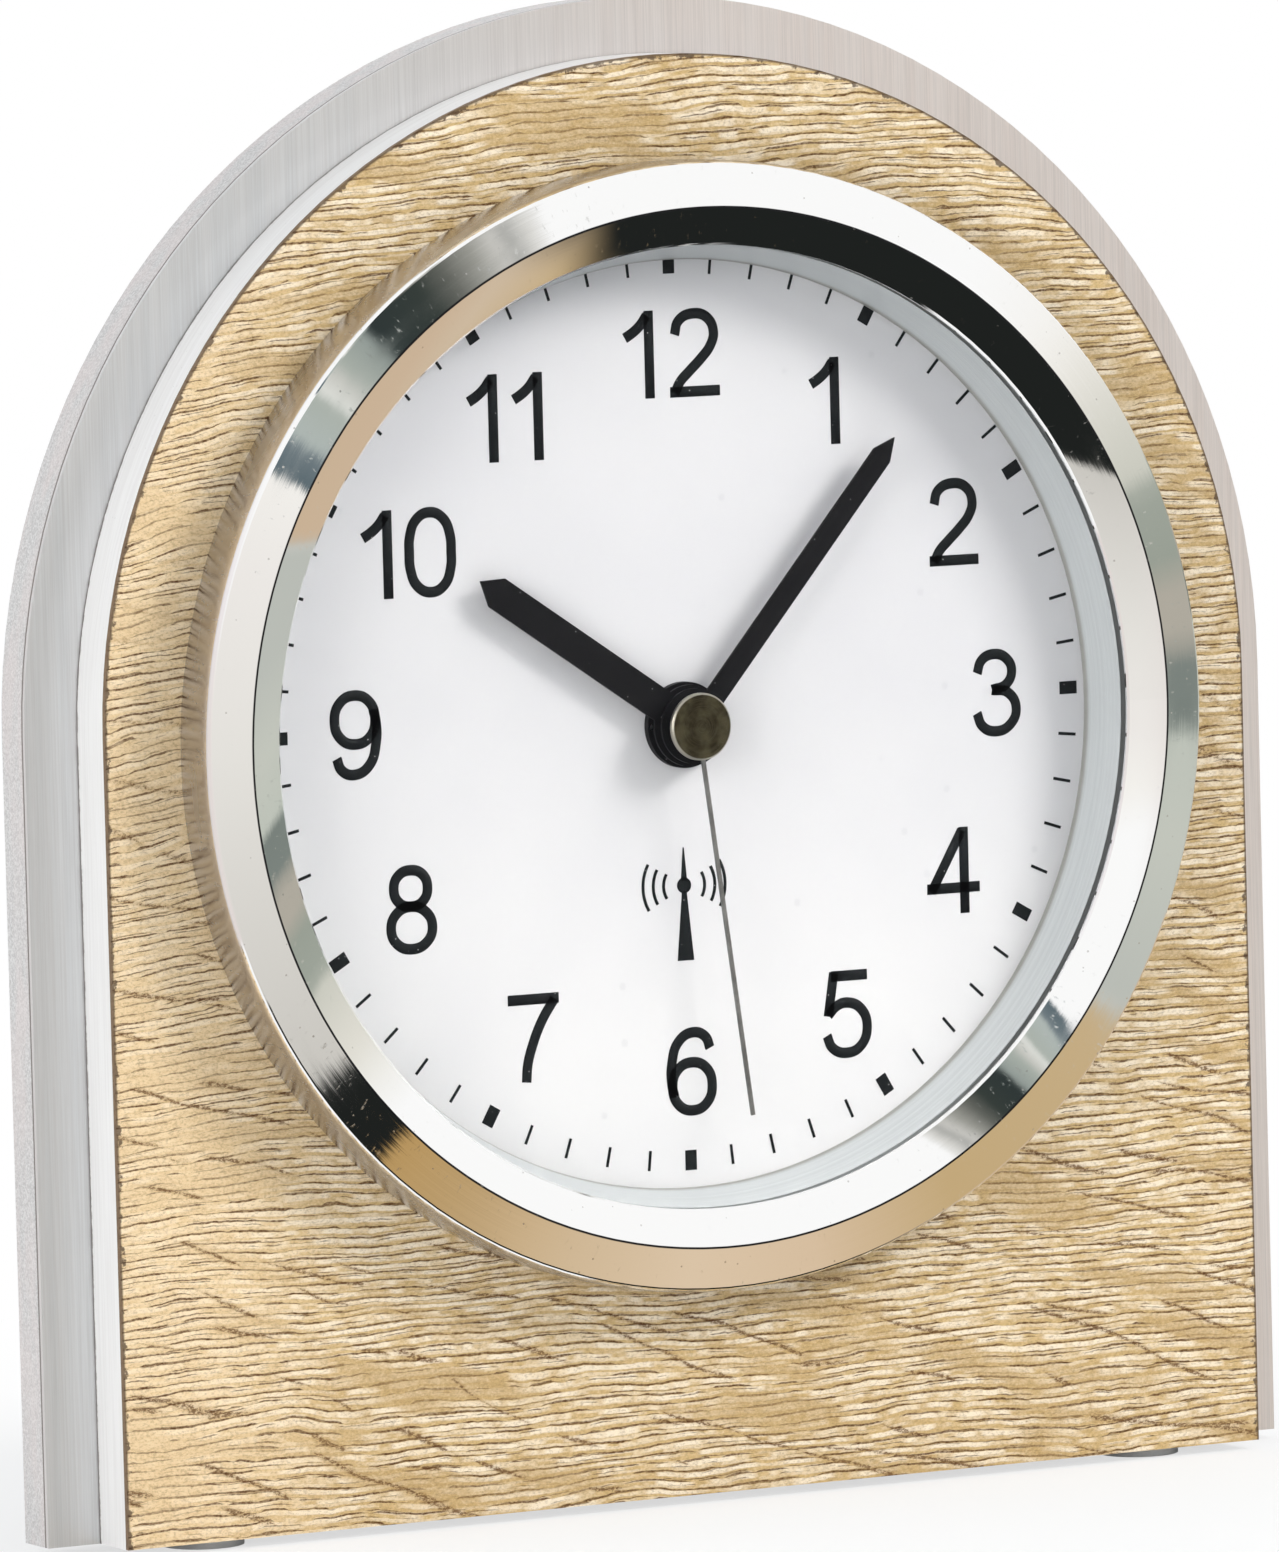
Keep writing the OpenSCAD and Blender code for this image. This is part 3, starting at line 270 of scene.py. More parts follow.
def grain_rows(tree, place, pitch, seed, low, high):
    """Rows of grain: a thin dark line along each row, and a cream strand below it."""
    x, _, z = split(tree, place)
    row, rise = rows_of(tree, z, pitch)
    shown = ramp(tree, row_noise(tree, x, row, seed, 0.17, 3.7), low, high)
    filled = ramp(tree, row_noise(tree, x, row, seed + 20, 0.2, 2.9), 0.36, 0.56)
    line = ramp(tree, minus(tree, times(tree, shown, 0.22), rise), 0.0, 0.06)
    strand = times(tree, ramp(tree, rise, 0.42, 0.58), ramp(tree, rise, 0.92, 1.0, 1.0, 0.1))
    return line, times(tree, strand, filled)


def wood_rays(tree, place, angle, pitch, seed, low):
    """Tapered brown rays that slope down to the right across the grain."""
    x, _, z = split(tree, place)
    across, along = sin(radians(angle)), cos(radians(angle))
    reach = minus(tree, times(tree, x, along), times(tree, z, across))
    row, rise = rows_of(tree, plus(tree, times(tree, x, across), times(tree, z, along)), pitch)
    shown = ramp(tree, row_noise(tree, reach, row, seed, 0.075, 5.3, 1.0, 0.5), low, low + 0.14)
    thick = times(tree, shown, RAY_HALF / pitch)
    return ramp(tree, minus(tree, thick, unsigned(tree, minus(tree, rise, 0.5))), 0.0, RAY_SOFT / pitch)


def veneer_rim(tree, mm):
    """A mask for the cut edge of the veneer, along the sides and the arch, with small chips."""
    x, _, z = split(tree, mm)
    above = larger(tree, minus(tree, z, ARCH_Z / MM), 0.0)
    flat = add(tree, "CombineXYZ", {0: x, 1: above}).outputs[0]
    reach = add(tree, "VectorMath", {0: flat}, operation="LENGTH").outputs["Value"]
    chips = ramp(tree, noise(tree, mm, 0.7, 3.0, 0.7), 0.5, 0.75, 0.0, 0.7)
    inside = minus(tree, WOOD_HALF / MM, reach)
    return ramp(tree, minus(tree, inside, chips), 0.1, 0.4, 1.0, 0.0)


def in_plane(tree, x, height):
    """A place in the veneer's plane."""
    return add(tree, "CombineXYZ", {0: x, 1: 0.0, 2: height}).outputs[0]


def oak_laminate():
    """Light oak laminate with embossed grain that runs from side to side."""
    material, tree, shader = finish_of("oak_laminate", (0.6, 0.45, 0.26, 1), 0.55)
    mm = millimetres(tree)
    x, _, z = split(tree, mm)

    # The grain sways, rolls and shakes, and bends down along the arch's left side
    sway = noise(tree, placed(tree, mm, scale=(0.025, 1, 0.05)), 1.0, 2.0)
    roll = noise(tree, placed(tree, mm, (31, 0, 17), scale=(0.10, 1, 0.22)), 1.0, 2.0)
    shake = noise(tree, placed(tree, mm, (5, 0, 43), scale=(0.45, 1, 0.45)), 1.0, 2.0, 0.6)
    left = maths(tree, "MINIMUM", x, 0.0)
    bend = times(tree, times(tree, left, left), ramp(tree, z, 20, 80, 0.0, 0.001))
    lift = plus(tree, times(tree, sway, 5.5), times(tree, roll, 1.3))
    lift = plus(tree, plus(tree, lift, times(tree, shake, 0.4)), bend)
    lifted = plus(tree, z, lift)

    # Rows of grain, strong in worked patches and faint between them
    place = in_plane(tree, x, lifted)
    line_a, strand_a = grain_rows(tree, place, COARSE_PITCH, 3.0, 0.38, 0.54)
    line_b, strand_b = grain_rows(tree, place, FINE_PITCH, 41.0, 0.46, 0.62)
    slant = in_plane(tree, x, plus(tree, lifted, times(tree, x, 0.2)))
    patches = noise(tree, placed(tree, slant, (3, 0, 7), scale=(0.034, 1, 0.17)), 1.0, 3.0)
    worked = ramp(tree, patches, 0.38, 0.50, 0.22, 1.0)
    colour = tint(tree, ramp(tree, patches, 0.3, 0.6), GROUND_DARK, GROUND_PALE)
    strand = times(tree, larger(tree, strand_a, times(tree, strand_b, 0.55)), worked)
    colour = tint(tree, strand, colour, STRAND_CREAM)
    # Painted light: the wood is made paler towards the left side, which the lamps light less
    colour = tint(tree, ramp(tree, x, -76, -44, 0.62, 0.0), colour, LEFT_PAINTED_LIGHT)
    grit = noise(tree, placed(tree, mm, scale=(2.2, 1, 4.2)), 1.0, 4.0, 0.75)
    colour = tint(tree, ramp(tree, grit, 0.34, 0.54, 0.42, 0.0), colour, GRIT_DARK)
    colour = tint(tree, ramp(tree, grit, 0.52, 0.70, 0.0, 0.34), colour, GRIT_PALE)

    # Rays, strongest low on the board, with a dark core
    bent = in_plane(tree, x, plus(tree, z, plus(tree, bend, times(tree, sway, 14.0))))
    rays = larger(tree, wood_rays(tree, bent, 21, 6.5, 7.0, 0.43), wood_rays(tree, bent, 14, 11.0, 71.0, 0.44))
    broken = times(tree, ramp(tree, z, 50, 160, 1.0, 0.35), ramp(tree, grit, 0.35, 0.62, 1.0, 0.5))
    rays = times(tree, rays, broken)
    colour = tint(tree, times(tree, rays, 0.6), colour, RAY_BROWN)
    colour = tint(tree, ramp(tree, rays, 0.45, 0.85, 0.0, 0.8), colour, RAY_CORE)

    # Dark lines, the dark rim and the cut edge
    line_a = times(tree, line_a, ramp(tree, worked, 0.3, 0.9, 0.6, 1.0))
    line = larger(tree, line_a, times(tree, line_b, times(tree, worked, 0.8)))
    line = times(tree, line, ramp(tree, grit, 0.36, 0.62, 1.0, 0.55))
    colour = tint(tree, line, colour, LINE_BROWN)
    colour = tint(tree, times(tree, veneer_rim(tree, mm), 0.85), colour, RIM_BROWN)
    facing = unsigned(tree, split(tree, add(tree, "NewGeometry").outputs["Normal"])[1])
    edge = tint(tree, noise(tree, mm, 0.8, 3.0), EDGE_DARK, EDGE_PALE)
    feed(tree, shader["Base Color"], tint(tree, ramp(tree, facing, 0.3, 0.6), edge, colour))

    hollows = times(tree, larger(tree, line, rays), -1.0)
    bumps = plus(tree, plus(tree, hollows, times(tree, strand, 0.6)), times(tree, grit, 0.3))
    feed(tree, shader["Normal"], relief(tree, bumps, 0.12 * MM, 0.6))
    feed(tree, shader["Roughness"], ramp(tree, line, 0, 1, 0.5, 0.75))
    return material


# Boards

def front_edge():
    """Pale silver edge band of the front board, with a dark joint against the sheet and small chips."""
    material, tree, shader = finish_of("front_edge", (0.95, 0.935, 0.92, 1), 0.3)
    mm = millimetres(tree)
    streaks = noise(tree, placed(tree, mm, scale=(0.05, 2.2, 0.05)), 1.0, 4.0)
    colour = tint(tree, ramp(tree, streaks, 0.3, 0.7), (0.83, 0.81, 0.795, 1), (0.90, 0.885, 0.87, 1))
    specks = place_effect(tree, fine_specks, {"Vector": mm, "Size": 0.7, "Share": 0.12})["Mask"]
    colour = tint(tree, times(tree, specks, 0.3), colour, (0.5, 0.48, 0.46, 1))
    chips = ramp(tree, noise(tree, mm, 0.5, 3.0, 0.7), 0.4, 0.7, 0.3, 0.6)
    joint = ramp(tree, minus(tree, sheet_low.y / MM, split(tree, mm)[1]), 0.1, chips, 1.0, 0.0)
    feed(tree, shader["Base Color"], tint(tree, times(tree, joint, 0.9), colour, (0.06, 0.04, 0.03, 1)))
    feed(tree, shader["Normal"], relief(tree, streaks, 0.05 * MM, 0.4))
    return material


def back_edge():
    """Speckled pale edge of the back board, and the grey backing on its rear face."""
    material, tree, shader = finish_of("back_edge", (0.74, 0.70, 0.69, 1), 0.6)
    mm = millimetres(tree)
    fine = noise(tree, mm, 3.2, 4.0, 0.7)
    wide = noise(tree, placed(tree, mm, scale=(0.3, 0.3, 0.06)), 1.0, 3.0)
    edge = tint(tree, ramp(tree, fine, 0.3, 0.72), (0.46, 0.445, 0.44, 1), (0.75, 0.74, 0.73, 1))
    edge = tint(tree, ramp(tree, wide, 0.35, 0.65, 0.0, 0.35), edge, (0.72, 0.62, 0.60, 1))
    joint = ramp(tree, minus(tree, split(tree, mm)[1], sheet_high.y / MM), 0.2, 0.5, 0.9, 0.0)
    edge = tint(tree, joint, edge, (0.12, 0.10, 0.09, 1))
    backing = tint(tree, ramp(tree, fine, 0.25, 0.75), (0.15, 0.145, 0.14, 1), (0.21, 0.20, 0.19, 1))
    rear = ramp(tree, split(tree, add(tree, "NewGeometry").outputs["Normal"])[1], 0.6, 0.8)
    feed(tree, shader["Base Color"], tint(tree, rear, edge, backing))
    feed(tree, shader["Normal"], relief(tree, fine, 0.06 * MM, 0.5))
    return material


def brushed_aluminium():
    """Sheet with fine upright brushing, cooler on the left and warmer at the top and right, which is a painted
    reflection.
    """
    material, tree, shader = finish_of("brushed_aluminium", (0.7, 0.68, 0.67, 1), 0.36, 0.7)
    mm = millimetres(tree)
    marks = place_effect(tree, brush_marks, {"Vector": placed(tree, mm, scale=(1.1, 1.1, 0.012))})
    x = split(tree, mm)[0]
    # Painted reflection: the colour turns from cool on the left to warm on the right
    reflection_warmth = ramp(tree, x, -60, 20)
    colour = tint(tree, reflection_warmth, (0.73, 0.745, 0.755, 1), (0.86, 0.785, 0.75, 1))
    colour = tint(tree, ramp(tree, marks["Fine"], 0.3, 0.7, 0.0, 0.35), colour, (0.50, 0.48, 0.47, 1))
    colour = tint(tree, ramp(tree, marks["Broad"], 0.3, 0.7, 0.0, 0.2), colour, (0.92, 0.9, 0.89, 1))
    feed(tree, shader["Base Color"], colour)
    feed(tree, shader["Roughness"], ramp(tree, marks["Fine"], 0.2, 0.8, 0.32, 0.48))
    feed(tree, shader["Normal"], relief(tree, marks["Fine"], 0.02 * MM, 0.6))
    return material


def foot_finish():
    """Black painted fibreboard."""
    material, tree, shader = finish_of("foot_finish", (0.03, 0.03, 0.03, 1), 0.5)
    mm = millimetres(tree)
    grain = place_effect(tree, moulded_grain, {"Vector": mm, "Size": 0.5})
    feed(tree, shader["Base Color"], tint(tree, grain["Tone"], (0.022, 0.022, 0.023, 1), (0.045, 0.044, 0.043, 1)))
    feed(tree, shader["Roughness"], ramp(tree, grain["Tone"], 0.3, 0.7, 0.42, 0.6))
    feed(tree, shader["Normal"], relief(tree, grain["Height"], 0.05 * MM, 0.4))
    return material


def felt():
    """Pale pressed felt with loose fibres."""
    material, tree, shader = finish_of("felt", (0.8, 0.79, 0.77, 1), 0.95, Sheen_Weight=0.2)
    mm = millimetres(tree)
    fibres = noise(tree, mm, 6.0, 5.0, 0.75, 1.5)
    feed(tree, shader["Base Color"], tint(tree, fibres, (0.70, 0.69, 0.67, 1), (0.88, 0.87, 0.86, 1)))
    feed(tree, shader["Normal"], relief(tree, fibres, 0.3 * MM, 0.8))
    return material


# Bezel and what it holds

def axis_millimetres(tree):
    """Object coordinates in millimetres, measured from the hands' axis."""
    return placed(tree, millimetres(tree), (0, 0, -AXIS_Z / MM))


def bezel_chrome():
    """Polished bezel: turned lines that fray its reflections, a dull side wall and a painted dark reflection in a
    fine line along the crest.
    """
    material, tree, shader = finish_of("bezel_chrome", (0.95, 0.95, 0.945, 1), 0.04, 1.0)
    mm = axis_millimetres(tree)
    turned = place_effect(tree, turned_marks, {"Vector": mm})
    radius = turned["Radius"]
    wall = ramp(tree, radius, BEZEL_R / MM - 0.35, BEZEL_R / MM - 0.1)
    smears = noise(tree, placed(tree, turned["Along"], scale=(0.3, 0.3, 4.0)), 1.0, 4.0)
    shine = ramp(tree, smears, 0.4, 0.75, 0.02, 0.07)
    scratches = noise(tree, placed(tree, turned["Along"], scale=(3.0, 3.0, 1.5)), 1.0, 5.0, 0.7)
    rough = plus(tree, shine, times(tree, wall, 0.22))
    rough = plus(tree, rough, ramp(tree, scratches, 0.64, 0.78, 0.0, 0.06))
    scuffs = noise(tree, placed(tree, turned["Along"], scale=(0.7, 0.7, 110)), 1.0, 3.0, 0.6)
    rough = plus(tree, rough, ramp(tree, scuffs, 0.6, 0.76, 0.0, 0.18))
    specks = place_effect(tree, fine_specks, {"Vector": mm, "Size": 0.9, "Share": 0.05})["Mask"]
    feed(tree, shader["Roughness"], plus(tree, rough, times(tree, specks, 0.22)))
    # Painted reflection: a thin dark line along the crest, where the two slopes meet
    crest = ramp(tree, unsigned(tree, minus(tree, radius, CREST_R)), 0.08, 0.2, 0.85, 0.0)
    colour = tint(tree, times(tree, specks, 0.5), (0.95, 0.95, 0.945, 1), (0.55, 0.53, 0.5, 1))
    colour = tint(tree, wall, colour, (0.61, 0.60, 0.625, 1))
    feed(tree, shader["Base Color"], tint(tree, crest, colour, (0.12, 0.12, 0.12, 1)))
    strokes = noise(tree, placed(tree, turned["Along"], scale=(1.5, 0.8, 0.9)), 1.0, 3.0, 0.6)
    marks = times(tree, plus(tree, strokes, times(tree, turned["Rings"], 0.2)), 0.5)
    middle = (CREST_R + LIP_R) / 2
    dish = maths(tree, "DIVIDE", minus(tree, radius, middle), CREST_R - middle)
    dish = times(tree, maths(tree, "MINIMUM", times(tree, dish, dish), 1.0), 7.0)
    feed(tree, shader["Normal"], relief(tree, plus(tree, marks, dish), 0.012 * MM, 0.5))
    return material


def clear_glass():
    """Flat pane: lamps shine through it."""
    material, tree, _ = finish_of("clear_glass", (0.985, 0.99, 0.99, 1), 0.0, IOR=1.45, Transmission_Weight=1.0,
                                  Specular_IOR_Level=0.05)
    lamp_ray = add(tree, "LightPath").outputs["Is Shadow Ray"]
    clear = add(tree, "BsdfTransparent", {"Color": (0.97, 0.97, 0.975, 1)}).outputs[0]
    pane = tree.nodes["Principled BSDF"].outputs[0]
    both = add(tree, "MixShader", {0: lamp_ray, 1: pane, 2: clear}).outputs[0]
    tree.links.new(both, tree.nodes["Material Output"].inputs["Surface"])
    return material


def grey(shade):
    return (shade, shade, shade, 1)


def rubber(name, shade):
    """Dull rubber in one shade of grey."""
    material, tree, shader = finish_of(name, grey(shade), 0.7)
    grain = place_effect(tree, moulded_grain, {"Vector": millimetres(tree), "Size": 0.25})
    feed(tree, shader["Base Color"], tint(tree, grain["Tone"], grey(shade * 0.8), grey(shade * 1.5)))
    feed(tree, shader["Normal"], relief(tree, grain["Height"], 0.04 * MM, 0.4))
    return material


def ring_grey():
    """Satin sloping ring between the dial and the glass, with a painted shadow line where it meets the dial."""
    material, tree, shader = finish_of("ring_grey", (0.74, 0.76, 0.76, 1), 0.32)
    turned = place_effect(tree, turned_marks, {"Vector": axis_millimetres(tree)})
    colour = tint(tree, ramp(tree, turned["Rings"], 0.3, 0.7), (0.46, 0.485, 0.495, 1), (0.55, 0.575, 0.58, 1))
    # Painted shadow: a dark line at the ring's foot, where it meets the dial
    foot = ramp(tree, turned["Radius"], RING_FOOT_R + 0.05, RING_FOOT_R + 0.3, 0.75, 0.0)
    feed(tree, shader["Base Color"], tint(tree, foot, colour, (0.22, 0.21, 0.18, 1)))
    feed(tree, shader["Normal"], relief(tree, turned["Rings"], 0.02 * MM, 0.3))
    return material


def dial_white():
    """Matt white coat of the dial, with a trace of blue, a few dust specks, and painted light that makes it paler
    towards the bottom.
    """
    material, tree, shader = finish_of("dial_white", (0.80, 0.795, 0.81, 1), 0.6, Specular_IOR_Level=0.25)
    mm = millimetres(tree)
    cloud = noise(tree, mm, 0.035, 2.0)
    # Painted light: the coat is paler towards the bottom; clouds vary its tone at random
    fall = ramp(tree, split(tree, mm)[2], AXIS_Z / MM - 50, AXIS_Z / MM + 10, 0.7, 0.0)
    paler_by_light_and_clouds = plus(tree, fall, ramp(tree, cloud, 0.3, 0.7, 0.0, 0.3))
    colour = tint(tree, paler_by_light_and_clouds, (0.70, 0.695, 0.715, 1), (0.825, 0.815, 0.815, 1))
    specks = place_effect(tree, fine_specks, {"Vector": mm, "Size": 3.2, "Share": 0.04})["Mask"]
    feed(tree, shader["Base Color"], tint(tree, times(tree, specks, 0.15), colour, (0.4, 0.4, 0.42, 1)))
    feed(tree, shader["Normal"], relief(tree, noise(tree, mm, 5.0, 3.0), 0.01 * MM, 0.3))
    return material


def dial_ink():
    """Black print with tiny pale specks."""
    black = (0.012, 0.014, 0.015, 1)
    material, tree, shader = finish_of("dial_ink", black, 0.5, Specular_IOR_Level=0.08)
    mm = millimetres(tree)
    specks = place_effect(tree, fine_specks, {"Vector": mm, "Size": 0.45, "Share": 0.06})["Mask"]
    feed(tree, shader["Base Color"], tint(tree, times(tree, specks, 0.8), black, (0.6, 0.6, 0.6, 1)))
    feed(tree, shader["Roughness"], ramp(tree, noise(tree, mm, 1.2, 3.0), 0.3, 0.7, 0.42, 0.6))
    return material


# Hands

def hand_black():
    """Matt black lacquer on metal, with a little dust."""
    black = (0.008, 0.008, 0.009, 1)
    material, tree, shader = finish_of("hand_black", black, 0.42, Specular_IOR_Level=0.1)
    mm = millimetres(tree)
    specks = place_effect(tree, fine_specks, {"Vector": mm, "Size": 0.6, "Share": 0.06})["Mask"]
    feed(tree, shader["Base Color"], tint(tree, times(tree, specks, 0.35), black, (0.5, 0.5, 0.5, 1)))
    grain = place_effect(tree, moulded_grain, {"Vector": mm, "Size": 0.15})
    feed(tree, shader["Roughness"], ramp(tree, grain["Tone"], 0.3, 0.7, 0.36, 0.5))
    feed(tree, shader["Normal"], relief(tree, grain["Height"], 0.01 * MM, 0.4))
    return material


def cap_bronze():
    """Dark nickel cap, spun and finely scratched, with a brighter rim."""
    material, tree, shader = finish_of("cap_bronze", (0.1, 0.09, 0.06, 1), 0.4, 1.0)
    mm = axis_millimetres(tree)
    turned = place_effect(tree, turned_marks, {"Vector": mm})
    cap_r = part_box("second_cap")[1].x / MM
    scratches = noise(tree, placed(tree, mm, rotation=(0, 0.6, 0), scale=(1.2, 1, 14)), 1.0, 4.0, 0.7)
    clouds = noise(tree, mm, 0.45, 2.0)
    colour = tint(tree, ramp(tree, clouds, 0.35, 0.65), (0.035, 0.029, 0.014, 1), (0.10, 0.087, 0.05, 1))
    colour = tint(tree, ramp(tree, turned["Rings"], 0.45, 0.7, 0.0, 0.5), colour, (0.13, 0.115, 0.075, 1))
    colour = tint(tree, ramp(tree, scratches, 0.6, 0.72, 0.0, 0.5), colour, (0.28, 0.26, 0.2, 1))
    rim = ramp(tree, turned["Radius"], cap_r - 0.32, cap_r - 0.16)
    feed(tree, shader["Base Color"], tint(tree, rim, colour, (0.42, 0.40, 0.34, 1)))
    feed(tree, shader["Roughness"], ramp(tree, scratches, 0.3, 0.7, 0.34, 0.5))
    feed(tree, shader["Normal"], relief(tree, plus(tree, turned["Rings"], scratches), 0.015 * MM, 0.5))
    return material


# Metals and plastics behind the boards

def metal(name, colour, roughness):
    """Plain metal with fine marks and slight clouding."""
    material, tree, shader = finish_of(name, colour, roughness, 1.0)
    mm = millimetres(tree)
    marks = place_effect(tree, brush_marks, {"Vector": placed(tree, mm, scale=(1.5, 0.4, 0.6))})
    dull = tuple(c * 0.7 for c in colour[:3]) + (1,)
    feed(tree, shader["Base Color"], tint(tree, ramp(tree, marks["Broad"], 0.3, 0.7), colour, dull))
    feed(tree, shader["Roughness"], ramp(tree, marks["Fine"], 0.3, 0.7, roughness * 0.75, roughness * 1.35))
    feed(tree, shader["Normal"], relief(tree, marks["Fine"], 0.01 * MM, 0.3))
    return material


def plastic(name, colour, roughness, grain_size=0.3, depth=0.03):
    """Moulded plastic with a fine grain."""
    material, tree, shader = finish_of(name, colour, roughness)
    grain = place_effect(tree, moulded_grain, {"Vector": millimetres(tree), "Size": grain_size})
    pale = tuple(min(c * 1.25 + 0.004, 1) for c in colour[:3]) + (1,)
    feed(tree, shader["Base Color"], tint(tree, grain["Tone"], colour, pale))
    feed(tree, shader["Roughness"], ramp(tree, grain["Tone"], 0.3, 0.7, roughness * 0.85, min(roughness * 1.15, 1)))
    feed(tree, shader["Normal"], relief(tree, grain["Height"], depth * MM, 0.5))
    return material


def copper_wire():
    """Enamelled wire wound turn beside turn."""
    material, tree, shader = finish_of("copper_wire", (0.5, 0.2, 0.07, 1), 0.3, 0.8)
    mm = millimetres(tree)
    wound = {"Vector": placed(tree, mm, scale=(1, 0, 1)), "Scale": 1.6, "Distortion": 0.3}
    turns = add(tree, "TexWave", wound).outputs["Fac"]
    feed(tree, shader["Base Color"], tint(tree, turns, (0.22, 0.07, 0.02, 1), (0.62, 0.27, 0.10, 1)))
    feed(tree, shader["Normal"], relief(tree, turns, 0.08 * MM, 0.7))
    return material


def board_green():
    """Green solder mask with pale tracks under it."""
    material, tree, shader = finish_of("board_green", (0.02, 0.12, 0.05, 1), 0.25)
    mm = millimetres(tree)
    tracks = {"Vector": placed(tree, mm, rotation=(pi / 2, 0, 0)), "Scale": 0.35, "Mortar Size": 0.03}
    cells = times(tree, add(tree, "TexBrick", tracks).outputs["Fac"], 0.7)
    feed(tree, shader["Base Color"], tint(tree, cells, (0.015, 0.10, 0.04, 1), (0.05, 0.22, 0.09, 1)))
    return material


def cell_sleeve():
    """Plain blue sleeve with a pale band, and the bare metal ends of the cell."""
    material, tree, shader = finish_of("cell_blue", (0.05, 0.12, 0.28, 1), 0.3, 0.4)
    low, high = (corner.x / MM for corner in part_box("battery_cell"))
    mm = millimetres(tree)
    x = split(tree, mm)[0]
    left = ramp(tree, x, low + 1.5, low + 1.7, 1.0, 0.0)
    right = ramp(tree, x, high - 0.4, high - 0.2)
    band = ramp(tree, x, high - 12.0, high - 11.8)
    sleeve = tint(tree, band, (0.04, 0.10, 0.25, 1), (0.55, 0.56, 0.58, 1))
    feed(tree, shader["Base Color"], tint(tree, larger(tree, left, right), sleeve, (0.7, 0.69, 0.67, 1)))
    scuffs = noise(tree, mm, 0.8, 5.0, 0.7)
    feed(tree, shader["Roughness"], ramp(tree, scuffs, 0.3, 0.7, 0.22, 0.42))
    return material


def all_finishes():
    """Each material slot of the solids with its finish."""
    return {
        "oak_laminate": oak_laminate(),
        "front_edge": front_edge(),
        "brushed_aluminium": brushed_aluminium(),
        "back_edge": back_edge(),
        "screw_brass": metal("screw_brass", (0.62, 0.47, 0.22, 1), 0.3),
        "foot_finish": foot_finish(),
        "felt": felt(),
        "bezel_chrome": bezel_chrome(),
        "clear_glass": clear_glass(),
        "black_rubber": rubber("black_rubber", 0.02),
        "pale_rubber": rubber("pale_rubber", 0.5),
        "ring_grey": ring_grey(),
        "dial_white": dial_white(),
        "spring_steel": metal("spring_steel", (0.34, 0.34, 0.35, 1), 0.38),
        "hand_black": hand_black(),
        "cap_bronze": cap_bronze(),
        "second_grey": metal("second_grey", (0.30, 0.30, 0.29, 1), 0.45),
        "case_black": plastic("case_black", (0.018, 0.018, 0.019, 1), 0.5, 0.35, 0.06),
        "nickel": metal("nickel", (0.68, 0.66, 0.62, 1), 0.25),
        "brass": metal("brass", (0.75, 0.55, 0.25, 1), 0.28),
        "wheel_white": plastic("wheel_white", (0.80, 0.78, 0.72, 1), 0.4),
        "wheel_amber": plastic("wheel_amber", (0.62, 0.36, 0.08, 1), 0.3),
        "inner_grey": plastic("inner_grey", (0.07, 0.075, 0.08, 1), 0.45),
        "ferrite": plastic("ferrite", (0.03, 0.03, 0.033, 1), 0.55, 0.15, 0.05),
        "copper_wire": copper_wire(),
        "board_green": board_green(),
        "chip_black": plastic("chip_black", (0.006, 0.006, 0.006, 1), 0.2, 0.8, 0.05),
        "cell_blue": cell_sleeve(),
        "button_grey": plastic("button_grey", (0.27, 0.27, 0.28, 1), 0.45, 0.25, 0.03),
    }


finishes = all_finishes()
for part in frame["record"]["subparts"]:
    nodes[part["node"]].material_slots[0].material = finishes[part["material_slot"]]


# The dial's print

def arc(radius, start, end, steps):
    """Points round part of a circle; angles in degrees, anticlockwise from the right."""
    turns = [radians(start + (end - start) * i / steps) for i in range(steps + 1)]
    return [(radius * cos(t), radius * sin(t)) for t in turns]


